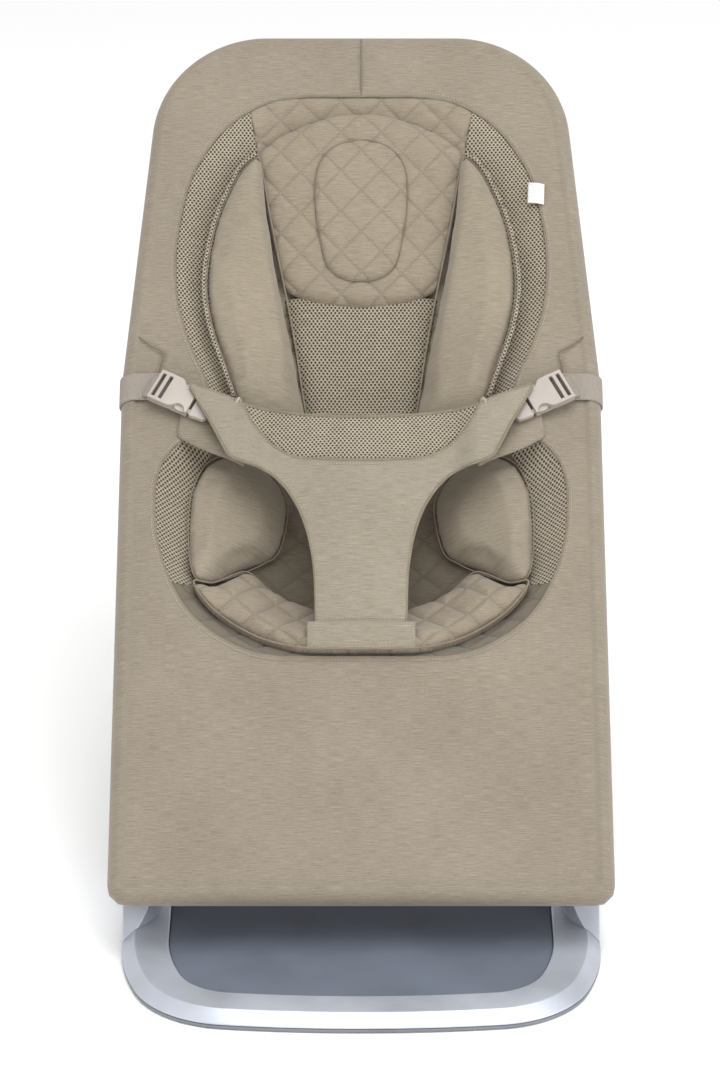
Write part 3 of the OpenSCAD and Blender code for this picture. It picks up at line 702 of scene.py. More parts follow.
def mesh_group() -> bpy.types.NodeTree:
    """Staggered rows of oval holes, as in knitted spacer mesh."""

    def fill(n: Nodes, i: dict, o: dict) -> None:
        """Each row shifts by half a hole; a hole is where the oval distance to its cell's middle is small."""
        parts = n.add("ShaderNodeSeparateXYZ", {0: i["Place"]})
        row = n.math("DIVIDE", parts.outputs[1], 0.0024)
        odd = n.math("MULTIPLY", n.math("MODULO", n.math("FLOOR", n.math("ADD", row, 4000.0)), 2.0), 0.5)
        cell = n.math("ADD", n.math("DIVIDE", parts.outputs[0], 0.0036), odd)
        dx = n.math("SUBTRACT", n.math("FRACT", n.math("ADD", cell, 2000.0)), 0.5)
        dy = n.math("SUBTRACT", n.math("FRACT", n.math("ADD", row, 4000.0)), 0.5)
        wide = n.math("MULTIPLY", dx, 1.55)
        reach = n.math("SQRT", n.math("ADD", n.math("MULTIPLY", wide, wide), n.math("MULTIPLY", dy, dy)))
        o["Hole"] = n.ramp(reach, 0.32, 0.5, 1.0, 0.0)
        o["Height"] = n.ramp(reach, 0.15, 0.6, 0.0, 1.0)

    return group("mesh_holes", {"Place": (VECTOR, None)}, {"Hole": FLOAT, "Height": FLOAT}, fill)


def grain_group() -> bpy.types.NodeTree:
    """Fine moulded or blasted grain, with a broad variation for handling marks."""

    def fill(n: Nodes, i: dict, o: dict) -> None:
        """Two noises: one at the grain's scale, one forty times broader."""
        o["Grain"] = n.noise(n.add("ShaderNodeVectorMath", {0: i["Place"], 3: i["Scale"]},
                                   operation="SCALE").outputs[0], 1.0, 3.0)
        o["Marks"] = n.noise(n.scaled(i["Place"], (14, 14, 14)), 1.0, 4.0)

    return group("surface_grain", {"Place": (VECTOR, None), "Scale": (FLOAT, 1800.0)},
                 {"Grain": FLOAT, "Marks": FLOAT}, fill)


def linear(rgb: tuple[float, float, float]) -> tuple[float, float, float, float]:
    """A display colour of 0 to 255 as a scene-linear one."""
    c = np.array(rgb, float) / 255
    c = np.where(c <= 0.04045, c / 12.92, ((c + 0.055) / 1.055) ** 2.4)
    return (*c.tolist(), 1.0)


class Weave(enum.Enum):
    """How a cloth's face is made."""

    MELANGE = "melange"
    QUILT = "quilt"
    MESH = "mesh"
    RIB = "rib"


@dataclass(frozen=True)
class Cloth:
    """A woven or knitted finish on the pattern's own coordinates."""

    name: str
    light: tuple[float, float, float]
    dark: tuple[float, float, float]
    weave: Weave = Weave.MELANGE
    sheen: float = 0.25
    bump: float = 0.35

    def make(self) -> bpy.types.Material:
        """The material: yarn streaks in the colour, with the weave's own marks and bump on top; on quilt and
        mesh it also paints shade into the creases and the holes.
        """
        if self.name in bpy.data.materials:
            return bpy.data.materials[self.name]
        mat = bpy.data.materials.new(self.name)
        mat.use_nodes = True
        n = Nodes(mat.node_tree)
        shader = mat.node_tree.nodes["Principled BSDF"]
        place = n.add("ShaderNodeUVMap", uv_map="cloth").outputs[0]
        yarn = n.add("ShaderNodeGroup", {"Place": place}, node_tree=melange_group())
        streak = n.math("MULTIPLY_ADD", yarn.outputs["Broad"], 0.25,
                        n.math("MULTIPLY", yarn.outputs["Streak"], 0.75))
        colour = n.mix(streak, linear(self.dark), linear(self.light))
        height, strength = yarn.outputs["Height"], self.bump
        if self.weave is Weave.QUILT:
            lines = n.add("ShaderNodeGroup", {"Place": place}, node_tree=quilt_group())
            # Painted shade: the quilt's sunk crease lines are darkened towards half the dark yarn colour; the
            # lighter stitch marks after it are thread colour.
            colour = n.mix(n.math("MULTIPLY", lines.outputs["Crease"], 0.34), colour,
                           linear(tuple(0.5 * c for c in self.dark)))
            colour = n.mix(n.math("MULTIPLY", lines.outputs["Stitch"], 0.5), colour, linear(self.light))
            height = n.math("SUBTRACT", height, n.math("MULTIPLY", lines.outputs["Crease"], 2.2))
        if self.weave is Weave.MESH:
            holes = n.add("ShaderNodeGroup", {"Place": place}, node_tree=mesh_group())
            # Painted shade: the holes are coloured near-black for the shade inside the mesh.
            colour = n.mix(n.math("MULTIPLY", holes.outputs["Hole"], 0.9), colour, linear((34, 30, 24)))
            height = n.math("MULTIPLY", holes.outputs["Height"], 3.0)
            strength = 0.8
        if self.weave is Weave.RIB:
            parts = n.add("ShaderNodeSeparateXYZ", {0: place})
            rib = n.math("SINE", n.math("MULTIPLY", parts.outputs[0], 2 * math.pi / 0.0016))
            cord = n.math("SINE", n.math("MULTIPLY", parts.outputs[1], 2 * math.pi / 0.0032))
            weft = n.math("MULTIPLY", rib, cord)
            colour = n.mix(n.ramp(weft, -1, 1, 0.0, 0.35), colour,
                           linear(tuple(0.75 * c for c in self.dark)))
            height = n.math("MULTIPLY", weft, 1.6)
            strength = 0.6
        bump = n.add("ShaderNodeBump", {"Height": height, "Strength": strength, "Distance": 0.0005})
        rough = n.ramp(yarn.outputs["Streak"], 0, 1, 0.78, 0.92)
        for key, value in (("Base Color", colour), ("Normal", bump.outputs[0]), ("Roughness", rough)):
            mat.node_tree.links.new(value, shader.inputs[key])
        shader.inputs["Sheen Weight"].default_value = self.sheen
        shader.inputs["Sheen Roughness"].default_value = 0.45
        shader.inputs["Specular IOR Level"].default_value = 0.25
        return mat


@dataclass(frozen=True)
class Solid:
    """A moulded or metal finish on object coordinates."""

    name: str
    colour: tuple[float, float, float]
    rough: float = 0.5
    metal: float = 0.0
    grain: float = 1800.0
    bump: float = 0.12
    coat: float = 0.0

    def make(self) -> bpy.types.Material:
        """The material: grain in the bump and the roughness, faint marks in the colour."""
        if self.name in bpy.data.materials:
            return bpy.data.materials[self.name]
        mat = bpy.data.materials.new(self.name)
        mat.use_nodes = True
        n = Nodes(mat.node_tree)
        shader = mat.node_tree.nodes["Principled BSDF"]
        place = n.add("ShaderNodeTexCoord").outputs["Object"]
        grain = n.add("ShaderNodeGroup", {"Place": place, "Scale": self.grain}, node_tree=grain_group())
        darker = linear(tuple(0.9 * c for c in self.colour))
        colour = n.mix(n.ramp(grain.outputs["Marks"], 0.35, 0.65), darker, linear(self.colour))
        rough = n.math("ADD", n.ramp(grain.outputs["Marks"], 0.3, 0.7, self.rough - 0.04, self.rough + 0.04),
                       n.ramp(grain.outputs["Grain"], 0.3, 0.7, -0.03, 0.03))
        bump = n.add("ShaderNodeBump",
                     {"Height": grain.outputs["Grain"], "Strength": self.bump, "Distance": 0.0003})
        for key, value in (("Base Color", colour), ("Normal", bump.outputs[0]), ("Roughness", rough)):
            mat.node_tree.links.new(value, shader.inputs[key])
        shader.inputs["Metallic"].default_value = self.metal
        shader.inputs["Coat Weight"].default_value = self.coat
        shader.inputs["Coat Roughness"].default_value = 0.2
        return mat


COVER = Cloth("cover_jersey", (146, 137, 122), (116, 107, 92))
BELT = Cloth("belt_jersey", (151, 144, 129), (121, 113, 98))
WING = Cloth("wing_jersey", (151, 141, 124), (121, 112, 96))
QUILT = Cloth("quilted_jersey", (150, 139, 122), (121, 110, 94), Weave.QUILT)
MESH = Cloth("spacer_mesh", (178, 168, 149), (144, 133, 114), Weave.MESH, 0.1)
WEBBING = Cloth("harness_webbing", (168, 159, 149), (150, 141, 132), Weave.RIB, 0.1)
TAG = Cloth("woven_tag", (240, 240, 238), (226, 226, 222), Weave.RIB, 0.1)
PIPING = Cloth("seam_tape", (142, 130, 112), (108, 98, 82), Weave.RIB, 0.15)
SOFT_PIPING = Cloth("edge_tape", (154, 143, 125), (126, 115, 98), Weave.RIB, 0.1)
# Painted shade: a darker copy of the quilted jersey, standing in for the shade down in the seat's hollow.
SHADED_QUILT = Cloth("quilted_jersey_painted_shade", (118, 109, 94), (92, 84, 70), Weave.QUILT)
ZIP_TAPE = Cloth("zip_ribbon", (96, 88, 76), (74, 68, 58), Weave.RIB, 0.1)
THREAD = Solid("sewing_thread", (186, 174, 154), 0.7, bump=0.3)
ALUMINIUM = Solid("satin_aluminium", (200, 205, 215), 0.46, 0.7, 2600.0, 0.05)
ALUMINIUM_MATT = Solid("matt_aluminium", (176, 178, 182), 0.42, 1.0, 2200.0, 0.08)
STEEL = Solid("zinc_steel", (160, 160, 160), 0.35, 1.0, 1500.0, 0.08)
DARK = Solid("dark_moulding", (58, 61, 66), 0.55, 0.0, 1500.0, 0.25)
MAT = Solid("floor_panel_skin", (98, 105, 118), 0.7, 0.0, 2600.0, 0.3)
SOLE = Solid("sole_moulding", (120, 124, 130), 0.5, 0.0, 1500.0, 0.2)
RUBBER = Solid("foot_rubber", (30, 30, 31), 0.8, 0.0, 900.0, 0.3)
NYLON = Solid("natural_nylon", (214, 212, 202), 0.45)
BUCKLE = Solid("buckle_moulding", (168, 159, 150), 0.42, 0.0, 1600.0, 0.14, 0.1)

SLOT_FINISH: dict[str, Solid | Cloth] = {
    "bright_aluminium": ALUMINIUM, "frame_aluminium": ALUMINIUM_MATT, "dark_plastic": DARK,
    "panel_plastic": MAT, "rubber": RUBBER, "steel": STEEL, "nylon": NYLON,
    "buckle_plastic": BUCKLE,
}


@dataclass
class Workshop:
    """Settles each finished piece: its finish, its body and what it stands for."""

    frame: dict
    slots: dict[str, str] = field(default_factory=dict)

    def __post_init__(self) -> None:
        """Reads each node's material slot and dresses the hard nodes that stay."""
        self.slots = {p["node"]: p["material_slot"] for p in self.frame["record"]["subparts"]}
        for name, obj in self.frame["nodes"].items():
            finish = SLOT_FINISH.get(self.slots[name])
            if finish is None:
                continue
            if not obj.material_slots:
                obj.data.materials.append(finish.make())
            for slot in obj.material_slots:
                slot.material = finish.make()

    def settle(
        self, obj: bpy.types.Object, finish: Cloth | Solid, body: Body = Body.SEAT,
        replaces: Sequence[str] = (), slot: str | None = None, fill: float | None = None,
    ) -> bpy.types.Object:
        """Gives a piece its finish and body, and hides the CAD nodes it stands for.

        Args:
            obj: the piece, its place in its mesh.
            finish: its finish.
            body: the body it moves with.
            replaces: CAD nodes it stands for.
            slot: the record's material slot; not used.
            fill: for padding, how full it is; not used.

        Returns:
            The piece.
        """
        obj.data.materials.clear()
        obj.data.materials.append(finish.make())
        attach(obj, body.value)
        if replaces:
            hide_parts(*replaces)
        LOG.info("%s: %d faces on %s", obj.name, len(obj.data.polygons), body.value)
        return obj

    def copy_node(self, name: str, bevel: float, segments: int = 3) -> bpy.types.Object:
        """A clean copy of a hard CAD node with softened edges, which stands for it.

        Args:
            name: the CAD node.
            bevel: the edge's radius in millimetres.
            segments: steps across the rounded edge.

        Returns:
            The copy, not yet settled.
        """
        obj = bpy.data.objects.new("fine_" + name, self.frame["nodes"][name].data.copy())
        bpy.context.scene.collection.objects.link(obj)
        bm = bmesh.new()
        bm.from_mesh(obj.data)
        bmesh.ops.remove_doubles(bm, verts=bm.verts, dist=1e-6)
        bmesh.ops.dissolve_limit(bm, angle_limit=math.radians(1.5), verts=bm.verts, edges=bm.edges)
        bm.to_mesh(obj.data)
        bm.free()
        obj.data.shade_smooth()
        if bevel > 0:
            soften_edges(obj, bevel, segments)
        return obj


# --- Floor ring and hubs -------------------------------------------------------------------------


def soften(corners: Sequence[tuple[float, float]], reach: float, steps: int = 4) -> Array:
    """A closed section whose corners are eased: each is a short parabola between its two sides.

    Args:
        corners: the section's corners, in order.
        reach: how far from a corner the easing starts.
        steps: points across each corner.

    Returns:
        The section, its first point repeated at the end.
    """
    p = np.array(corners, float)
    before, after = np.roll(p, 1, axis=0) - p, np.roll(p, -1, axis=0) - p
    cut = [np.minimum(reach, 0.4 * np.linalg.norm(v, axis=1)) / np.linalg.norm(v, axis=1)
           for v in (before, after)]
    a, b = p + before * cut[0][:, None], p + after * cut[1][:, None]
    t = np.linspace(0, 1, steps)[None, :, None]
    out = ((1 - t) ** 2 * a[:, None] + 2 * t * (1 - t) * p[:, None] + t**2 * b[:, None]).reshape(-1, 2)
    return np.vstack([out, out[:1]])


@dataclass
class FloorRing:
    """The bright floor ring with its chamfer, the sole under it and the panel inside it."""

    half_width: float = 203.0
    length: float = 640.0
    bow_r: float = 1000.0
    corner_r: float = 90.0
    side_r: float = 230.0
    rear_r: float = 110.0
    side_start: float = 70.0

    def outline(self) -> tuple[Array, Array, Array]:
        """The rim as arcs: a point is its arc's centre plus its radius along its direction.

        Returns:
            Centres, radii and directions round the whole rim, the first repeated at the end.
        """
        turn = math.radians(self.side_start)
        bow = math.asin((self.half_width - self.corner_r * math.sin(turn)
                         - self.side_r * (1 - math.sin(turn))) / (self.bow_r - self.corner_r))
        corner = ((self.bow_r - self.corner_r) * math.sin(bow),
                  self.bow_r - (self.bow_r - self.corner_r) * math.cos(bow))
        side = (self.half_width - self.side_r, corner[1] + (self.side_r - self.corner_r) * math.cos(turn))
        rear = (self.half_width - self.rear_r, self.length - self.rear_r)
        parts = [((0, self.bow_r), self.bow_r, 0, bow, 10), (corner, self.corner_r, bow, turn, 40),
                 (side, self.side_r, turn, math.pi / 2, 16)]
        c = [np.tile(m, (n, 1)) for m, _, _, _, n in parts]
        r = [np.full(n, rad) for _, rad, _, _, n in parts]
        t = [np.linspace(a, b, n, endpoint=False) for _, _, a, b, n in parts]
        straight = np.linspace(side[1], rear[1], 16, endpoint=False)
        c += [np.stack([np.full(16, rear[0]), straight], -1), np.tile(rear, (40, 1)),
              np.stack([np.linspace(rear[0], 0, 8), np.full(8, rear[1])], -1)]
        r += [np.full(16 + 40 + 8, self.rear_r)]
        t += [np.full(16, math.pi / 2), np.linspace(math.pi / 2, math.pi, 40, endpoint=False),
              np.full(8, math.pi)]
        c, r, t = np.vstack(c), np.concatenate(r), np.concatenate(t)
        d = np.stack([np.sin(t), -np.cos(t)], -1)
        flip = np.array([-1, 1])
        return (np.vstack([c, c[::-1][1:] * flip]), np.concatenate([r, r[::-1][1:]]),
                np.vstack([d, d[::-1][1:] * flip]))

    def sweep(self, name: str, section: Array) -> bpy.types.Object:
        """Carries a closed section of (distance in from the rim, height) round the rim.

        Args:
            name: the piece's name.
            section: the section, closed.

        Returns:
            The piece.
        """
        c, r, d = self.outline()
        flat = c[:, None] + (r[:, None] - section[None, :, 0])[..., None] * d[:, None]
        z = np.broadcast_to(section[None, :, 1], flat.shape[:2])
        points = np.stack([flat[..., 0], flat[..., 1] - PATTERN.depth / 2, z], -1) * MM
        uv = np.stack([points[..., 0], points[..., 1]], -1)
        return grid(name, points, uv, closed=True)

    def panel(self, name: str) -> bpy.types.Object:
        """The floor panel: rings shrink from its edge to its middle line, with an eased rim.

        Args:
            name: the piece's name.

        Returns:
            The piece.
        """
        c, r, d = self.outline()
        edge = c + (r - 40.4)[:, None] * d
        spine = np.stack([0 * edge[:, 0], np.clip(edge[:, 1], 190, 450)], -1)
        share = np.array([0, 0.25, 0.5, 0.75, 0.9, 0.97, 0.99, 0.997, 1, 1, 0.99, 0.5, 0])
        z = np.array([12.5, 12.5, 12.5, 12.5, 12.5, 12.5, 12.45, 12.2, 11.6, 9.2, 8.6, 8.6, 8.6])
        flat = spine[:, None] + share[None, :, None] * (edge - spine)[:, None]
        points = np.stack([flat[..., 0], flat[..., 1] - PATTERN.depth / 2,
                           np.broadcast_to(z, flat.shape[:2])], -1) * MM
        return grid(name, points, points[..., :2], closed=True)

    def build(self, shop: Workshop) -> None:
        """Makes and settles the ring, the sole, the panel and the knuckles."""
        ring = soften([(0, 4.6), (0, 5.5), (11, 14.5), (38.5, 14.5), (40, 13.5), (40, 4.6),
                       (36, 4.6), (36, 10.5), (12, 10.5), (6, 4.6)], 0.7)
        sole = soften([(0.8, 0.8), (0, 1.6), (0, 3.9), (1.2, 3.9), (1.2, 4.6), (40, 4.6), (40, 8.5),
                       (48, 8.5), (48, 0.8)], 0.3)
        shop.settle(self.sweep("floor_ring", ring), ALUMINIUM, Body.BASE, ["base_ring"], "bright_aluminium")
        shop.settle(self.sweep("floor_sole", sole), SOLE, Body.BASE, ["base_sole"], "dark_plastic")
        shop.settle(self.panel("floor_panel"), MAT, Body.BASE, ["base_panel"], "panel_plastic")
        for side in Side:
            name = f"knuckle_{side.word}"
            shop.settle(shop.copy_node(name, 1.6, 4), ALUMINIUM, Body.BASE, [name], "bright_aluminium")
            arm = f"arm_{side.word}"
            shop.settle(shop.copy_node(arm, 1.2), ALUMINIUM_MATT, Body.SEAT, [arm], "frame_aluminium")
            button = f"release_button_{side.word}"
            body = Body.BUTTON_LEFT if side is Side.LEFT else Body.BUTTON_RIGHT
            shop.settle(shop.copy_node(button, 0.6), DARK, body, [button], "dark_plastic")
            spring = f"button_spring_{side.word}"
            coil = shop.settle(shop.copy_node(spring, 0.0), STEEL, body, [spring], "steel")
            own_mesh(coil)


# --- Cover and pan -------------------------------------------------------------------------------


def quilt_relief(x: Array, s: Array, rise: float = 2.2, pitch: float = 26.0) -> Array:
    """How far quilted cloth sinks: most at the crossed lines, by a bell of 4 mm about each."""
    gaps = [np.abs(((x + k * s) * 0.70711 / pitch + 0.5) % 1 - 0.5) * pitch for k in (1, -1)]
    return -rise * np.exp(-((np.minimum(*gaps) / 3.6) ** 2))


@dataclass
class Cover:
    """The cloth stretched round the frame, from the pan's seam over the tubes to the back."""

    rings: int = 840
    dart: tuple[tuple[float, float], ...] = ((199, 40), (188, 31), (177, 23), (179, 12), (181, 3))
    anchors: tuple[tuple[tuple[float, float], tuple[float, float]], ...] = (
        ((0, -506), (0, -288)), ((150, -506), (55, -288)), ((200, -480), (100, -279)),
        ((200, -380), (140, -255)), ((200, -200), (171, -200)), ((200, -60), (153, -60)),
        ((196, 45), (155, 40)), ((184, 163), (163, 163)), ((176, 247), (131, 239)),
        ((150, 303), (104, 264)), ((86, 330), (60, 279)), ((0, 330), (0, 280)))

    def tubes(self) -> Array:
        """The right half of the frame's middle line, from the front tube to the head tube."""
        p = PATTERN
        tilt, rc, xf = math.radians(p.leg_tilt), 1.5, p.frame_x
        s0 = p.upper_len - p.bend_radius
        x0 = xf - s0 * math.tan(tilt) - p.bend_radius / math.cos(tilt)
        low, top = np.linspace(-math.pi / 2, 0, 12), np.linspace(tilt, math.pi / 2, 60)
        return np.vstack([
            [[0, -p.lower_len]],
            np.stack([xf - rc + rc * np.cos(low), -p.lower_len + rc + rc * np.sin(low)], -1),
            [[xf, 0]],
            np.stack([x0 + p.bend_radius * np.cos(top), s0 + p.bend_radius * np.sin(top)], -1),
            [[0, p.upper_len]]])

    def seam(self) -> Array:
        """The right half of the pan's seam, from the bottom to the top."""
        s = np.linspace(-288, 280, 500)
        return np.vstack([[[0, -288]], np.stack([PATTERN.seam(s), s], -1), [[0, 280]]])

    def loops(self) -> tuple[Array, Array, Array]:
        """The frame's middle line, its outward direction, and the seam's matching points.

        Returns:
            Three arrays of points, round the whole seat, the first repeated at the end.
        """
        outer, inner = resample(self.tubes(), 3000), resample(self.seam(), 3000)
        runs = []
        for line, k in ((outer, 0), (inner, 1)):
            marks = np.array([a[k] for a in self.anchors], float)
            near = np.linalg.norm(line[None] - marks[:, None], axis=-1).argmin(1)
            runs.append(near / 2999)
        t = np.linspace(0, 1, self.rings // 2 + 1)
        i_out = t * 2999
        i_in = np.interp(t, runs[0], runs[1]) * 2999
        k = np.arange(3000)
        out = np.stack([np.interp(i_out, k, c) for c in outer.T], -1)
        ins = np.stack([np.interp(i_in, k, c) for c in inner.T], -1)
        flip = np.array([-1, 1])
        out = np.vstack([out, out[::-1][1:] * flip])
        ins = np.vstack([ins, ins[::-1][1:] * flip])
        d = np.roll(out[:-1], -1, axis=0) - np.roll(out[:-1], 1, axis=0)
        d = (d + np.roll(d, 1, axis=0) + np.roll(d, -1, axis=0))
        d /= np.linalg.norm(d, axis=1, keepdims=True)
        n = np.stack([d[:, 1], -d[:, 0]], -1)
        return out, np.vstack([n, n[:1]]), ins

    def relief(self, x: Array, s: Array) -> Array:
        """Creases of the darts beside the straps and the top seam, over slow waves of the cloth."""
        gap = to_line(np.abs(x), s, np.array(self.dart, float))
        out = -1.7 * np.exp(-((gap / 2.4) ** 2)) + 1.0 * np.exp(-(((gap - 6) / 3.5) ** 2))
        out = out - 1.3 * np.exp(-((x / 2.2) ** 2)) * (s > 281) * np.clip((s - 281) / 8, 0, 1)
        wave = 0.35 * np.sin(x / 31 + 0.7 * np.sin(s / 47)) * np.sin(s / 61 + x / 90)
        pull = 0.5 * np.sin(s / 7.5 + 0.02 * x) * np.exp(-((s + 8) / 26) ** 2) * np.clip((np.abs(x)
                                                                                          - 165) / 20, 0, 1)
        return out + wave + pull

    def build(self, shop: Workshop) -> None:
        """Makes the cover as one sheet, its seam piping, its stitching, its tag and its zip."""
        out, n, ins = self.loops()
        q = np.linspace(0, 1, 27)[None, :, None]
        front = ins[:, None] + q * (out - ins)[:, None]
        span = np.linalg.norm(out - ins, axis=1)[:, None]
        sag = -0.022 * span * 4 * q[..., 0] * (1 - q[..., 0])
        edge_drop = -2.6 * np.exp(-(1 - q[..., 0]) * span / 14)
        arch = np.sin(np.pi * np.clip(q[..., 0], 0, 1) / 2)
        fade = np.sin(np.pi * np.clip(q[..., 0] * 1.1, 0, 1)) ** 0.5
        h_front = (PATTERN.cover_out + sag + edge_drop * arch
                   + self.relief(front[..., 0], front[..., 1]) * fade)
        hem = np.repeat(ins[:, None], 3, 1) + np.array([0.0, 0.1, 0.6])[None, :, None] * n[:, None]
        h_hem = np.broadcast_to(np.array([6.0, 11.5, 13.2]), hem.shape[:2])
        a = np.linspace(math.pi / 2, -math.pi / 2, 16)[1:-1]
        r = PATTERN.cover_out
        wrap = out[:, None] + r * np.cos(a)[None, :, None] * n[:, None]
        h_wrap = np.broadcast_to(r * np.sin(a), wrap.shape[:2])
        qb = np.linspace(1, 0, 12)[None, :, None]
        back = ins[:, None] + qb * (out - ins)[:, None]
        h_back = -r - 0.01 * span * 4 * qb[..., 0] * (1 - qb[..., 0]) + 0 * span
        wall = np.repeat(ins[:, None], 3, 1)
        h_wall = np.broadcast_to(np.array([-9.0, -1.0, 5.0]), wall.shape[:2])
        xs = np.concatenate([hem, front[:, 1:], wrap, back, wall], 1)
        h = np.concatenate([h_hem, h_front[:, 1:], h_wrap, h_back, h_wall], 1)
        arc = r * (math.pi / 2 - a)
        uv = np.concatenate([
            hem - (14.0 - h_hem)[..., None] * n[:, None], front[:, 1:],
            out[:, None] + arc[None, :, None] * n[:, None],
            out[:, None] + (r * math.pi) * n[:, None] + (1 - qb) * (out - ins)[:, None],
            out[:, None] + (r * math.pi) * n[:, None] + (out - ins)[:, None]
            + np.array([5.0, 13.0, 19.0])[None, :, None] * n[:, None]], 1) * MM
        cover = grid("cover", PATTERN.place(xs[..., 0], xs[..., 1], h), uv)
        solidify(cover, 2.0)
        shop.settle(cover, COVER, replaces=["cover_front", "cover_back"], slot="cover_fabric")
        loop = ins[:-1]
        shop.settle(tube("pan_piping", on_pattern(loop, 12.4), 1.1, closed=True), SOFT_PIPING,
                    slot="cover_fabric")
        for side in Side:
            dart = smooth_line(np.array(self.dart, float), 12) * np.array([side.value, 1])
            shop.settle(tube(f"dart_{side.word}", on_pattern(dart, PATTERN.cover_out - 0.3), 0.55), PIPING,
                        slot="cover_fabric")
        seam = np.stack([np.zeros(40), np.linspace(281, 338, 40)], -1)
        shop.settle(tube("top_seam", on_pattern(seam, PATTERN.cover_out - 0.4), 0.5), PIPING,
                    slot="cover_fabric")
        centre = np.array([0.0, -4.0])
        away = (loop - centre) / np.linalg.norm(loop - centre, axis=1, keepdims=True)
        line = np.vstack([loop + 3.6 * away, (loop + 3.6 * away)[:1]])
        shop.settle(stitches("pan_topstitch", on_pattern(line, 13.9), pattern_up(line), 2.8, 2.0, 0.3),
                    THREAD)
        top = np.stack([np.zeros(20), np.linspace(283, 335, 20)], -1)
        shop.settle(stitches("top_seam_stitch", on_pattern(top + np.array([2.6, 0]), 13.6), pattern_up(top),
                             2.8, 2.0, 0.26), THREAD)
        self.tag(shop)
        self.zip(shop)

    def tag(self, shop: Workshop) -> None:
        """The folded label sewn beside the seam: a loop of ribbon, flattened towards its fold."""
        u, v = np.meshgrid(np.linspace(0, 1, 15), np.linspace(0, 1, 13), indexing="ij")
        x = 150.5 + 15.0 * u + 0.8 * v
        s = 172 + 20 * v - 2.2 * u
        h = PATTERN.cover_out + 0.9 + 2.2 * np.sin(np.pi * u) ** 0.7 * (0.6 + 0.4 * v) + 1.2 * u
        tag = cloth_grid("side_label", x, s, h, 0.7)
        shop.settle(tag, TAG, replaces=["side_tag"], slot="tag_fabric")

    def zip(self, shop: Workshop) -> None:
        """The zip on the rear: a tape with two rows of teeth, and the slider."""
        u, v = np.meshgrid(np.linspace(-150, 150, 61), np.linspace(-353, -337, 5), indexing="ij")
        tape = cloth_grid("zip_ribbon", u, v, -PATTERN.cover_out - 0.6 + 0 * u, 0.6)
        shop.settle(tape, ZIP_TAPE, replaces=["zip_tape"], slot="dark_plastic")
        for k, s in enumerate((-346.1, -343.9)):
            line = np.stack([np.linspace(-148, 148, 10), np.full(10, s)], -1)
            teeth = stitches(f"zip_teeth_{k}", on_pattern(line, -PATTERN.cover_out - 1.9),
                             -pattern_up(line), 2.0, 1.5, 0.9)
            shop.settle(teeth, STEEL)
        shop.settle(shop.copy_node("zip_slider", 0.5), STEEL, Body.ZIP, ["zip_slider"], "steel")


@dataclass
class Pan:
    """The sling sewn into the cover: a quilted back and seat, with mesh beside them."""

    rows: int = 150
    cols: int = 90

    def zone(self, name: str, low: float, high: float, left: Callable, right: Callable, cols: int,
             relief: Field) -> bpy.types.Object:
        """One zone of the pan, from left(s) to right(s), sunk a little where it meets the seam.

        Args:
            name: the piece's name.
            low: its lowest place along the frame.
            high: its highest.
            left: its left edge.
            right: its right edge.
            cols: columns of the grid.
            relief: how far the cloth rises at a place.

        Returns:
            The piece.
        """
        s, u = np.meshgrid(np.linspace(low, high, self.rows), np.linspace(0, 1, cols), indexing="ij")
        x = left(s) + (right(s) - left(s)) * u
        near = np.minimum(PATTERN.seam(s) - np.abs(x), np.minimum(280 - s, s + 288))
        h = PATTERN.pan_h(x, s) + relief(x, s) * np.clip(near / 14, 0,
                                                         1) - 2.4 * np.exp(-np.maximum(near, 0) / 5)
        return cloth_grid(name, x, s, h, PATTERN.pan_t - 0.6)

    def build(self, shop: Workshop) -> None:
        """Makes the four zones."""
        q, edge = PATTERN.quilt, PATTERN.seam
        back = self.zone("pan_back_quilt", -60, 279.5, lambda s: -q(s), q, self.cols, quilt_relief)
        seat = self.zone("pan_seat_quilt", -287.5, -60, lambda s: -q(s), q, self.cols, quilt_relief)
        shop.settle(back, QUILT, replaces=["pan_back"], slot="quilt_fabric")
        # The seat zone takes the darker quilt, the painted shade of the hollow.
        shop.settle(seat, SHADED_QUILT, replaces=["pan_seat"], slot="quilt_fabric")
        wave: Field = lambda x, s: 0.8 * np.sin(s / 16 + np.abs(x) / 9) * np.sin(s / 31)
        for side in Side:
            k = side.value
            mesh = self.zone(f"side_mesh_{side.word}", -211.9, 264.5, lambda s: k * q(s),
                             lambda s: k * edge(s), 26, wave)
            shop.settle(mesh, MESH, replaces=[f"pan_mesh_{side.word}"], slot="mesh_fabric")


# --- Insert --------------------------------------------------------------------------------------


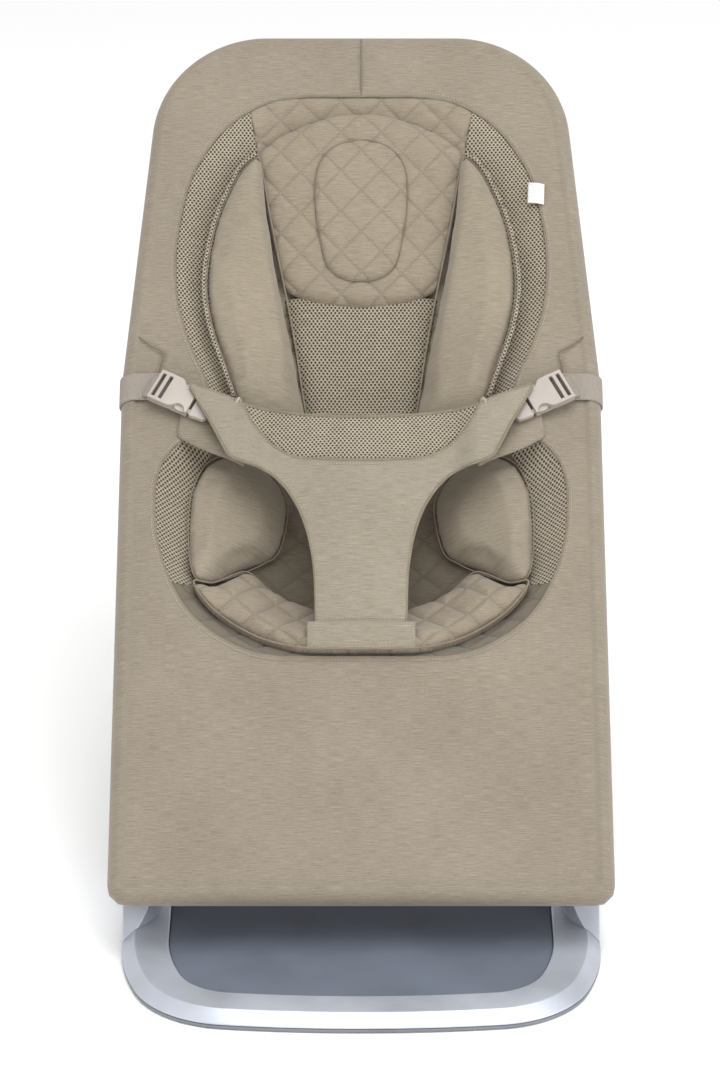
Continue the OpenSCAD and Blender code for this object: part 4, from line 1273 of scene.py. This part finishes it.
def inflate(obj: bpy.types.Object, voxel: float, cap: float, pressure: float = 4.0,
            frames: int = 20) -> None:
    """Swells a closed pad as cloth under pressure, its mesh replaced by an even one first.

    Args:
        obj: the pad.
        voxel: the even mesh's size, in millimetres.
        cap: how far a point may move, in millimetres.
        pressure: of the air inside.
        frames: steps of the simulation.
    """
    scene = bpy.context.scene
    even = obj.modifiers.new("even", "REMESH")
    even.mode, even.voxel_size = "VOXEL", voxel * MM
    apply_all(obj)
    n = len(obj.data.vertices)
    rest = np.zeros(n * 3, np.float32)
    obj.data.vertices.foreach_get("co", rest)
    cloth = obj.modifiers.new("cloth", "CLOTH")
    cloth.settings.quality = 5
    cloth.settings.mass = 0.3
    cloth.settings.tension_stiffness = 12
    cloth.settings.compression_stiffness = 12
    cloth.settings.bending_stiffness = 0.8
    cloth.settings.use_pressure = True
    cloth.settings.uniform_pressure_force = pressure
    cloth.settings.effector_weights.gravity = 0
    cloth.collision_settings.use_collision = False
    cloth.point_cache.frame_start, cloth.point_cache.frame_end = 1, frames
    for f in range(1, frames + 1):
        scene.frame_set(f)
    moved = np.zeros(n * 3, np.float32)
    obj.evaluated_get(bpy.context.evaluated_depsgraph_get()).data.vertices.foreach_get("co", moved)
    obj.modifiers.clear()
    scene.frame_set(1)
    step = (moved - rest).reshape(-1, 3)
    size = np.linalg.norm(step, axis=1, keepdims=True)
    step *= np.minimum(1, cap * MM / np.maximum(size, 1e-9))
    obj.data.vertices.foreach_set("co", (rest.reshape(-1, 3) + step).ravel())
    obj.data.update()


def apply_all(obj: bpy.types.Object) -> None:
    """Bakes a piece's modifiers into its mesh."""
    made = bpy.data.meshes.new_from_object(obj.evaluated_get(bpy.context.evaluated_depsgraph_get()))
    old = obj.data
    obj.modifiers.clear()
    obj.data = made
    made.name = old.name + "_m"


@dataclass
class Cushion:
    """A stuffed piece of the insert: its outline, its middle line, and how it is filled."""

    name: str
    outline: Sequence[tuple[float, float]]
    spine: Sequence[tuple[float, float]]
    thick: float
    lift: float
    finish: Cloth
    node: str
    slot: str
    bed: Field
    relief: float = 0.0
    fill: float = 0.6
    shape: float = 0.55
    edge: float = 0.35
    swell: float = 5.0
    piping: float = 0.9

    def rim(self, count: int = 160) -> Array:
        """The outline as an even closed line, its first point not repeated."""
        return rounded(self.outline, count)

    def height(self, x: Array, s: Array) -> Array:
        """The middle of the cushion's edge above the pattern."""
        return self.bed(x, s) + self.lift + self.edge * self.thick

    def shell(self) -> bpy.types.Object:
        """Rings from the middle of the under face over the edge to the middle of the top.

        Returns:
            The closed pad: each ring shrinks towards the middle line by a power of the cosine of
            an angle, and rises by a power of its sine.
        """
        rim = self.rim()
        rim = np.vstack([rim, rim[:1]])
        line = resample(np.array(self.spine, float), 60)
        near = np.linalg.norm(rim[:, None] - line[None], axis=-1).argmin(1)
        mid = line[near]
        mid = sum(np.roll(mid[:-1], k, axis=0) for k in range(-12, 13)) / 25
        mid = np.vstack([mid, mid[:1]])
        a = np.concatenate([np.linspace(-math.pi / 2, 0, 14)[:-1], np.linspace(0, math.pi / 2, 26)])
        share = np.maximum(np.cos(a), 0) ** self.shape
        xs = mid[:, None] + share[None, :, None] * (rim - mid)[:, None]
        up = np.where(a > 0, (1 - self.edge) * self.thick, self.edge * self.thick)
        rise = np.sign(a) * np.abs(np.sin(a)) ** 0.9 * up
        h = self.height(xs[..., 0], xs[..., 1]) + rise[None, :]
        return grid(self.name, PATTERN.place(xs[..., 0], xs[..., 1], h), xs * MM, closed=True)

    def finish_surface(self, obj: bpy.types.Object) -> None:
        """Rewrites the cloth coordinates of every corner, and sinks the quilted lines."""
        mesh = obj.data
        co = np.zeros(len(mesh.vertices) * 3, np.float32)
        mesh.vertices.foreach_get("co", co)
        co = co.reshape(-1, 3).astype(float)
        normal = np.zeros(len(mesh.vertices) * 3, np.float32)
        mesh.vertices.foreach_get("normal", normal)
        normal = normal.reshape(-1, 3).astype(float)
        x, s, _ = PATTERN.unplace(co)
        if self.relief > 0:
            up = np.clip(normal @ np.array([0, -0.656, 0.755]) * 1.6, 0, 1)
            co = co + normal * (quilt_relief(x, s, self.relief) * up)[:, None] * MM
            mesh.vertices.foreach_set("co", co.ravel())
        layer = mesh.uv_layers.get("cloth") or mesh.uv_layers.new(name="cloth")
        corners = np.zeros(len(mesh.loops), np.int32)
        mesh.loops.foreach_get("vertex_index", corners)
        layer.data.foreach_set("uv", (np.stack([x, s], -1) * MM)[corners].astype(np.float32).ravel())
        mesh.shade_smooth()
        mesh.update()

    def build(self, shop: Workshop) -> None:
        """Makes, swells and settles the cushion and its edge piping."""
        obj = self.shell()
        if self.swell > 0:
            inflate(obj, 4.0, self.swell)
            smooth = obj.modifiers.new("smooth", "SMOOTH")
            smooth.factor, smooth.iterations = 0.5, 3
        fine = obj.modifiers.new("fine", "SUBSURF")
        fine.levels = fine.render_levels = 1
        apply_all(obj)
        self.finish_surface(obj)
        shop.settle(obj, self.finish, replaces=[self.node], slot=self.slot, fill=self.fill)
        if self.piping > 0:
            rim = self.rim(260)
            path = on_pattern(rim, self.height(rim[:, 0], rim[:, 1]) + 0.12 * self.thick)
            cord = tube(self.name + "_piping", path, self.piping, closed=True)
            shop.settle(cord, PIPING if self.swell == 0 else SOFT_PIPING, slot=self.slot)


@dataclass
class Insert:
    """The newborn insert: head rest and pillow, wings, hip wings, thigh cushion and mesh centre."""

    head: tuple[tuple[float, float], ...] = (
        (0, 259), (35, 254), (63, 243), (82, 231), (93, 218), (91, 200), (84, 160), (76, 125),
        (69, 100), (55, 92), (34, 86), (0, 83))
    pillow: tuple[tuple[float, float], ...] = (
        (0, 231), (20, 227), (34, 216), (41, 198), (41, 166), (37, 142), (33, 123), (25, 111), (13, 105),
        (0, 104))
    wing: tuple[tuple[float, float], ...] = (
        (94, 216), (104, 207), (114, 192), (129, 157), (137, 120), (139, 85), (133, 50), (122, 16),
        (112, -14), (98, -38), (74, -44), (50, -42), (49, -20), (52, 0), (60, 50), (70, 101), (82, 160),
        (90, 205))
    wing_spine: tuple[tuple[float, float], ...] = (
        (99, 196), (107, 160), (108, 120), (103, 80), (97, 50), (88, 15), (78, -18))
    hip: tuple[tuple[float, float], ...] = (
        (132, -74), (144, -92), (151, -118), (152, -155), (149, -190), (143, -203), (130, -200),
        (109, -183), (86, -164), (74, -152), (67, -125), (66, -95), (80, -72), (106, -62))
    hip_spine: tuple[tuple[float, float], ...] = ((112, -100), (112, -130), (116, -155), (130, -178))
    thigh: tuple[tuple[float, float], ...] = (
        (0, -222), (44, -216), (76, -198), (98, -178), (112, -184), (130, -201), (146, -207),
        (137, -226), (115, -248), (85, -269), (54, -282), (25, -284), (0, -284))

    def cushions(self) -> list[Cushion]:
        """Every stuffed piece, the head rest before the pillow that lies on it."""
        pan: Field = PATTERN.pan_h
        out = [
            Cushion("head_rest_pad", mirrored(self.head), [(0, 225), (0, 115)], 17, 1.4, QUILT, "head_rest",
                    "quilt_fabric", pan, relief=1.3, shape=0.34, swell=0, piping=0),
            Cushion("head_pillow_pad", mirrored(self.pillow), [(0, 195), (0, 135)], 8, 15.6, QUILT,
                    "head_pillow", "insert_fabric", pan, relief=1.1, shape=0.2, edge=0.3, swell=0,
                    piping=0.8),
            Cushion("thigh_pad", mirrored(self.thigh),
                    [(-122, -212), (-92, -222), (-50, -245), (0, -252), (50, -245), (92, -222), (122, -212)],
                    22, 1.4, QUILT, "thigh_cushion", "quilt_fabric", pan, relief=2.4, shape=0.5)]
        for side in Side:
            k = side.value
            flip = [(k * x, s) for x, s in self.wing]
            out.append(Cushion(f"wing_{side.word}", flip, [(k * x, s) for x, s in self.wing_spine], 27, 1.4,
                               WING, f"insert_wing_{side.word}", "insert_fabric", pan, shape=0.5))
            out.append(Cushion(f"hip_pad_{side.word}", [(k * x, s) for x, s in self.hip],
                               [(k * x, s) for x, s in self.hip_spine], 20, 1.4, WING,
                               f"hip_wing_{side.word}", "insert_fabric", pan, shape=0.5, piping=0.5))
        return out

    def build(self, shop: Workshop) -> None:
        """Makes the mesh centre, then each cushion, then the knit bands on the wings."""
        s, u = np.meshgrid(np.linspace(-150, 92, 96), np.linspace(-1, 1, 50), indexing="ij")
        half = np.maximum(Curve(((-150, 40), (-60, 44), (0, 52), (92, 69)))(s), 30)
        x = u * half
        h = PATTERN.pan_h(x, s) + 1.4 + 8.6 * (1 - u**6) + 0.6 * np.sin(s / 13 + x / 22) * np.sin(x / 15)
        centre = cloth_grid("insert_mesh", x, s, h, 3.0)
        shop.settle(centre, MESH, replaces=["insert_centre"], slot="mesh_fabric")
        for cushion in self.cushions():
            cushion.build(shop)
        for side in Side:
            path = np.array([(95, 219), (106, 210), (116, 194), (131, 158), (139.5, 120), (141.5, 85),
                             (135.5, 49),
                             (124, 15), (114, -15)], float)
            path[:, 0] *= side.value
            line = rounded(path, 360, closed=False)
            rope = tube(f"wing_rope_{side.word}",
                        on_pattern(line, PATTERN.pan_h(line[:, 0], line[:, 1]) + 14.5), 2.0,
                        14, twist=0.11, lobes=3)
            shop.settle(rope, MESH, slot="mesh_fabric")


# --- Harness -------------------------------------------------------------------------------------


@dataclass
class Harness:
    """The belt with its leg hollows, the waist mesh, the crotch band, the webbing and buckles."""

    outer: tuple[tuple[float, float], ...] = (
        (0, -262), (20, -262), (38.5, -262), (39, -255), (40, -216), (44, -182), (52, -152), (66, -124),
        (80, -107),
        (98, -94), (113, -87.5), (117, -84), (130, -57), (142, -32), (152, -11))
    inner: tuple[tuple[float, float], ...] = (
        (0, -98), (13, -98), (24, -97), (26, -97), (33, -96.5), (40, -95.6), (46, -95), (56, -93), (66, -88),
        (80, -76), (93, -57), (98, -48), (106, -30), (128, -18), (150, -9))
    tab: tuple[tuple[float, float], ...] = (
        (104, -96), (116, -89), (135, -81), (152, -72), (163, -62), (160, -40), (153, -14))
    rise: Curve = Curve(((-288, 0), (-200, 0.55), (-120, 1), (-15, 1)))
    strap_low: float = -25.0
    strap_high: float = 3.0
    wrap_r: float = 14.2
    end_rise: float = 14.5
    rise_x: float = 80.0
    rise_s: float = -120.0
    rise_run: float = 24.0
    draw_in: float = 0.6

    def height(self, x: Array, s: Array) -> Array:
        """The belt's under face: flat at the crotch, arched over the lap higher up."""
        return self.wrap_r + 14 * self.rise(s) * np.maximum(0, 1 - (x / 100) ** 2)

    def strip(self, name: str, low: Array, high: Array, lift: float, thick: float,
              count: int) -> bpy.types.Object:
        """Cloth ruled between two drawn lines of equal length, laid at the belt's height.

        Args:
            name: the piece's name.
            low: the line along its lower edge.
            high: the line along its upper edge.
            lift: of its face above the belt's under face.
            thick: the cloth's thickness.
            count: columns between the lines.

        Returns:
            The piece.
        """
        t = np.linspace(0, 1, count)[None, :, None]
        p = low[:, None] * (1 - t) + high[:, None] * t
        x, s = p[..., 0], p[..., 1]
        soft = 0.7 * np.sin(x / 13 + s / 29) * np.sin(s / 15 - x / 40) * np.sin(np.pi * t[..., 0])
        rim = -0.9 * (np.exp(-t[..., 0] * count / 3) + np.exp(-(1 - t[..., 0]) * count / 3))
        up = self.tuck(x, s)
        return cloth_grid(name, x, s - self.draw_in * up, self.height(x, s) + lift + soft + rim + up, thick)

    def tuck(self, x: Array, s: Array) -> Array:
        """How far the belt's ends rise over the buckles: by an eased step along the arm."""
        run = (np.clip((np.abs(x) - self.rise_x) / self.rise_run, 0, 1)
               * np.clip((s - self.rise_s) / self.rise_run, 0, 1))
        return self.end_rise * run**2 * (3 - 2 * run)

    def over(self, line: Array, lift: float) -> Array:
        """A drawn line at a height over the belt's under face, raised where the belt's ends are."""
        up = self.tuck(line[:, 0], line[:, 1])
        return PATTERN.place(line[:, 0], line[:, 1] - self.draw_in * up,
                             self.height(line[:, 0], line[:, 1]) + up + lift)

    def outlines(self) -> tuple[Array, Array]:
        """The belt's lower and upper edges from the left strap to the right one, matched up."""
        low = smooth_line(np.array(self.outer, float), 12)
        high = smooth_line(np.array(self.inner, float), 12)
        flip = np.array([-1, 1])
        return np.vstack([low[::-1] * flip, low[1:]]), np.vstack([high[::-1] * flip, high[1:]])

    def build(self, shop: Workshop) -> None:
        """Makes the belt, its edges, the waist mesh, the crotch band, the straps and buckles."""
        low, high = self.outlines()
        belt = self.strip("belt", low, high, 3.0, 2.4, 34)
        shop.settle(belt, BELT, replaces=["belt_panel"], slot="cover_fabric")
        for name, line, lift in (("belt_edge_low", low, 2.2), ("belt_edge_high", high, 2.2)):
            even = resample(line, 420)
            cord = tube(name, self.over(even, lift - 0.3), 1.3)
            shop.settle(cord, SOFT_PIPING, slot="cover_fabric")
        self.topstitch(shop, "belt_stitch_low", low, high, 0.055)
        self.topstitch(shop, "belt_stitch_high", high, low, 0.03)
        self.waist(shop, high)
        self.crotch(shop)
        for side in Side:
            self.flap(shop, side)
            self.strap(shop, side)
            self.buckle(shop, side)

    def topstitch(self, shop: Workshop, name: str, edge: Array, other: Array, share: float) -> None:
        """A row of stitches a little inside one edge of the belt."""
        line = resample(edge + share * (other - edge), 500)
        shop.settle(stitches(name, self.over(line, 2.9), pattern_up(line), 2.8, 2.0, 0.3), THREAD)

    def flap(self, shop: Workshop, side: Side) -> None:
        """The lining under each end of the belt, which shows below it beside the leg hollow."""
        low = smooth_line(np.array(self.tab, float), 12)
        high = resample(np.array([(100, -84), (108, -70), (122, -40), (146, -14)], float), len(low))
        t = np.linspace(0, 1, 14)[None, :, None]
        p = low[:, None] * (1 - t) + high[:, None] * t
        h = PATTERN.cover_out + 1.2 + 2.4 * np.sin(np.pi * np.clip(t[..., 0] * 1.4, 0,
                                                                   1)) ** 0.6 + 0 * p[..., 0]
        flap = cloth_grid(f"belt_lining_{side.word}", side.value * p[..., 0], p[..., 1], h, 1.6)
        shop.settle(flap, COVER, slot="cover_fabric")

    def waist(self, shop: Workshop, high: Array) -> None:
        """The mesh waist pad, between the belt's upper edge and its own curved top."""
        edge = high[np.abs(high[:, 0]) < 110.5]
        top = smooth_line(np.array([(-110, -27), (-80, -40), (-48, -48), (0, -52), (48, -48), (80, -40),
                                    (110, -27)], float), 16)
        low, up = resample(edge, 240), resample(top, 240)
        pad = self.strip("waist_mesh", low, up, 1.2, 4.0, 20)
        shop.settle(pad, MESH, replaces=["waist_pad"], slot="mesh_fabric")
        up = up[6:-6]
        cord = tube("waist_binding", self.over(up, 0.2), 1.5)
        shop.settle(cord, SOFT_PIPING, slot="mesh_fabric")

    def crotch(self, shop: Workshop) -> None:
        """The band that sews the belt to the seat's front, with two rows of stitches."""
        x, s = np.meshgrid(np.linspace(-47, 47, 50), np.linspace(-284, -257, 16), indexing="ij")
        h = self.height(x, s) + 5.4 - 0.8 * (np.abs(x / 47) ** 8) - 0.6 * np.abs((s + 271) / 13) ** 4
        band = cloth_grid("crotch_strip", x, s, h, 2.4)
        shop.settle(band, BELT, replaces=["crotch_band"], slot="cover_fabric")
        for k, low in enumerate((-281.5, -261.5)):
            line = np.stack([np.linspace(-45, 45, 60), np.full(60, low)], -1)
            path = on_pattern(line, self.height(line[:, 0], line[:, 1]) + 5.0)
            shop.settle(stitches(f"crotch_stitch_{k}", path, pattern_up(line), 2.8, 2.0, 0.3), THREAD)

    def strap(self, shop: Workshop, side: Side) -> None:
        """The webbing: from beside the buckle, out round the frame, and in behind it."""
        k, cx, r = side.value, PATTERN.frame_x, self.wrap_r + 1.6
        a = np.linspace(math.pi / 2, -math.pi / 2, 26)
        x = np.concatenate([np.linspace(172, cx, 8)[:-1], cx + r * np.cos(a), np.linspace(cx, 165, 10)[1:]])
        h = np.concatenate([np.full(7, r), r * np.sin(a), np.full(9, -r)])
        run = np.concatenate([[0], np.cumsum(np.hypot(np.diff(x), np.diff(h)))])
        s = np.linspace(self.strap_low, self.strap_high, 17)
        xs, ss = np.meshgrid(x, s, indexing="ij")
        hs = np.broadcast_to(h[:, None], xs.shape)
        lean = np.radians(PATTERN.leg_tilt) * np.maximum(ss, 0)
        points = PATTERN.place(k * (xs - lean), ss, hs)
        uv = np.stack([np.broadcast_to(ss, xs.shape), np.broadcast_to(run[:, None], xs.shape)], -1) * MM
        word = side.word
        strap = grid(f"strap_{word}", points, uv)
        # The strap's outer face looks away from the frame's middle line
        turn_out(strap, PATTERN.place(k * cx, -11.0, 0.0))
        solidify(strap, 1.6)
        shop.settle(strap, WEBBING, replaces=[f"webbing_{word}"], slot="webbing")

    def buckle(self, shop: Workshop, side: Side) -> None:
        """The socket with its two slots and side cut-outs, the webbing in it, and the tongue."""
        word = side.word
        place = BuckleFrame(side).place
        edge = [(0.6, 15.3), (8, 15.5), (16, 15.5), (21, 15.2), (24, 14.2), (26, 11.8), (28, 9.9), (31, 9.2),
                (34, 9.8), (36, 11.6), (37.5, 14.2), (39, 15.3), (39.6, 15.0)]
        outline = edge + [(u, -v) for u, v in edge[::-1]]
        slots = [[(u, -12.4), (u + 3.4, -12.4), (u + 3.4, 12.4), (u, 12.4)] for u in (3.2, 10.0)]
        socket = plate(f"socket_{word}", [outline, *slots], 1.2, 8.6, place, 1.1)
        shop.settle(socket, BUCKLE, Body.SEAT, [f"buckle_socket_{word}"], "buckle_plastic")
        under = plate(f"socket_floor_{word}", [[(15, -14.6), (39, -14.6), (39, 14.6), (15, 14.6)]], 0.2,
                      1.6, place, 0.4)
        shop.settle(under, BUCKLE, Body.SEAT, slot="buckle_plastic")
        u, v = np.meshgrid(np.linspace(-6, 12.5, 40), np.linspace(-12.2, 12.2, 9), indexing="ij")
        w = 0.4 + 5.6 * np.exp(-(((u - 8.2) / 2.6) ** 2)) - 1.2 * np.clip(-u / 6, 0, 1)
        loop = grid(f"strap_loop_{word}", place(u, v, w), np.stack([v, u], -1) * MM,
                    towards=np.array([0, -0.65, 0.75]))
        solidify(loop, 1.5)
        shop.settle(loop, WEBBING, slot="webbing")
        body = Body.TONGUE_LEFT if side is Side.LEFT else Body.TONGUE_RIGHT
        base = plate(f"tongue_{word}", [[(41.5, -14.5), (45, -14.9), (56, -13.8), (58, -11), (58, 11),
                                         (56, 13.8), (45, 14.9), (41.5, 14.5)]],
                     0.8, 6.4, place, 1.2)
        shop.settle(base, BUCKLE, body, [f"buckle_tongue_{word}"], "buckle_plastic")
        for k in (-1, 1):
            bar = [(25, k * 9.8), (27, k * 13.6), (31, k * 14.6), (36, k * 13.9), (42, k * 12.6),
                   (42, k * 8.6), (34, k * 8.4)]
            prong = plate(f"prong_{word}_{'a' if k < 0 else 'b'}", [bar if k > 0 else bar[::-1]], 2.4, 5.4,
                          place, 0.8)
            shop.settle(prong, BUCKLE, body, slot="buckle_plastic")


@dataclass(frozen=True)
class BuckleFrame:
    """A buckle's own frame: u down and inwards from its outer end, v across it, w outwards."""

    side: Side
    x: float = 184.0
    s: float = -14.0
    lift: float = 19.4
    turn: float = 207.0

    def place(self, u: Array, v: Array, w: Array) -> Array:
        """Points of the buckle in the row frame: its origin plus u, v and w along its three axes.

        Args:
            u: along it, in millimetres.
            v: across it.
            w: above its under face.

        Returns:
            Points in metres.
        """
        u, v, w = np.broadcast_arrays(*(np.asarray(c, float) for c in (u, v, w)))
        a, t = float(PATTERN.angle(np.array(self.s - 30.0))), math.radians(self.turn)
        along = np.array([math.cos(t), math.sin(t) * math.cos(a), math.sin(t) * math.sin(a)])
        cross = np.array([-math.sin(t), math.cos(t) * math.cos(a), math.cos(t) * math.sin(a)])
        out = np.array([0.0, -math.sin(a), math.cos(a)])
        at = PATTERN.place(self.x, self.s, self.lift)
        p = at + (u[..., None] * along + v[..., None] * cross + w[..., None] * out) * MM
        return p * np.array([self.side.value, 1, 1])


def plate(name: str, rings: Sequence[Sequence[tuple[float, float]]], low: float, high: float,
          place: Callable[..., Array], bevel: float) -> bpy.types.Object:
    """A flat plate with holes and softened edges: two filled faces joined by a wall on each ring.

    Args:
        name: the piece's name.
        rings: the outline, then each hole.
        low: height of its under face.
        high: height of its top.
        place: carries plate coordinates to metres.
        bevel: of its edges, in millimetres.

    Returns:
        The plate.
    """
    flat = [Vector((*p, 0.0)) for ring in rings for p in ring]
    tris = np.array(tessellate_polygon([[Vector((*p, 0.0)) for p in ring] for ring in rings]))
    n = len(flat)
    p = np.array([v[:2] for v in flat])
    verts = np.concatenate([place(p[:, 0], p[:, 1], low), place(p[:, 0], p[:, 1], high)])
    faces = [list(map(int, f)) for f in tris] + [list(map(int, f + n)) for f in tris]
    start = 0
    for ring in rings:
        m = len(ring)
        faces += [[start + i, start + (i + 1) % m, n + start + (i + 1) % m, n + start + i] for i in range(m)]
        start += m
    mesh = bpy.data.meshes.new(name)
    mesh.from_pydata(verts.tolist(), [], faces)
    obj = bpy.data.objects.new(name, mesh)
    bpy.context.scene.collection.objects.link(obj)
    tidy_mesh(obj, True)
    bm = bmesh.new()
    bm.from_mesh(mesh)
    bmesh.ops.dissolve_limit(bm, angle_limit=math.radians(1), verts=bm.verts, edges=bm.edges)
    bm.to_mesh(mesh)
    bm.free()
    mesh.shade_smooth()
    soften_edges(obj, bevel, 4)
    return obj


# --- Studio --------------------------------------------------------------------------------------


@dataclass
class Studio:
    """A pale floor, big soft lights and the camera."""

    target: tuple[float, float, float] = (-0.001, -0.0334, 0.2875)
    distance: float = 4.25
    elevation: float = 23.0
    lens: float = 163.5
    sensor: float = 36.0
    floor_half: float = 12.0
    floor_tint: float = 0.98
    floor_roughness: float = 0.9
    world_strength: float = 0.8
    lamps: tuple[tuple[str, tuple[float, float, float], float, float], ...] = (
        ("key", (0.3, -0.9, 3.2), 2.6, 58.0),
        ("side", (2.6, -1.6, 1.6), 2.0, 30.0),
        ("fill", (-2.4, -2.0, 1.8), 2.2, 14.0),
        ("low", (0.2, -3.2, 0.7), 2.0, 22.0))

    def build(self) -> None:
        """Lays the floor and sets the lights and the camera."""
        scene = bpy.context.scene
        mesh = bpy.data.meshes.new("floor")
        half = self.floor_half
        mesh.from_pydata([(-half, -half, 0), (half, -half, 0), (half, half, 0), (-half, half, 0)], [],
                         [(0, 1, 2, 3)])
        floor = bpy.data.objects.new("floor", mesh)
        scene.collection.objects.link(floor)
        mat = bpy.data.materials.new("floor_white")
        mat.use_nodes = True
        shader = mat.node_tree.nodes["Principled BSDF"]
        shader.inputs["Base Color"].default_value = (*(self.floor_tint,) * 3, 1)
        shader.inputs["Roughness"].default_value = self.floor_roughness
        mesh.materials.append(mat)
        floor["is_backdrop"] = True
        world = bpy.data.worlds.new("studio")
        world.use_nodes = True
        back = world.node_tree.nodes["Background"]
        back.inputs["Color"].default_value = (1.0, 1.0, 1.0, 1)
        back.inputs["Strength"].default_value = self.world_strength
        scene.world = world
        for name, at, size, power in self.lamps:
            lamp = bpy.data.lights.new(name, "AREA")
            lamp.shape, lamp.size, lamp.energy = "DISK", size, power
            obj = bpy.data.objects.new(name, lamp)
            obj.location = at
            obj.rotation_euler = (Vector(self.target) - Vector(at)).to_track_quat("-Z", "Y").to_euler()
            scene.collection.objects.link(obj)
        tilt = math.radians(self.elevation)
        spot = Vector(self.target) + self.distance * Vector((0, -math.cos(tilt), math.sin(tilt)))
        data = bpy.data.cameras.new("camera")
        data.lens, data.sensor_width, data.sensor_fit = self.lens, self.sensor, "AUTO"
        camera = bpy.data.objects.new("camera", data)
        camera.location = spot
        camera.rotation_euler = (Vector(self.target) - spot).to_track_quat("-Z", "Y").to_euler()
        scene.collection.objects.link(camera)
        scene.camera = camera
        scene.view_settings.view_transform = "Standard"


def corners(box: object) -> list[list[float]]:
    """A box as two plain lists of numbers."""
    return [[float(v) for v in corner] for corner in box]


def main() -> None:
    """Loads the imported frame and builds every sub-assembly in order."""
    logging.basicConfig(level=logging.INFO, format="%(name)s %(message)s")
    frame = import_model()
    cad_box = corners(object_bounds())
    shop = Workshop(frame)
    for part in (FloorRing(), Cover(), Pan(), Insert(), Harness()):
        LOG.info("building %s", type(part).__name__)
        part.build(shop)
    Studio().build()
    sizes = {"cad": cad_box, "visual": corners(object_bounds())}


if __name__ == "__main__":
    main()
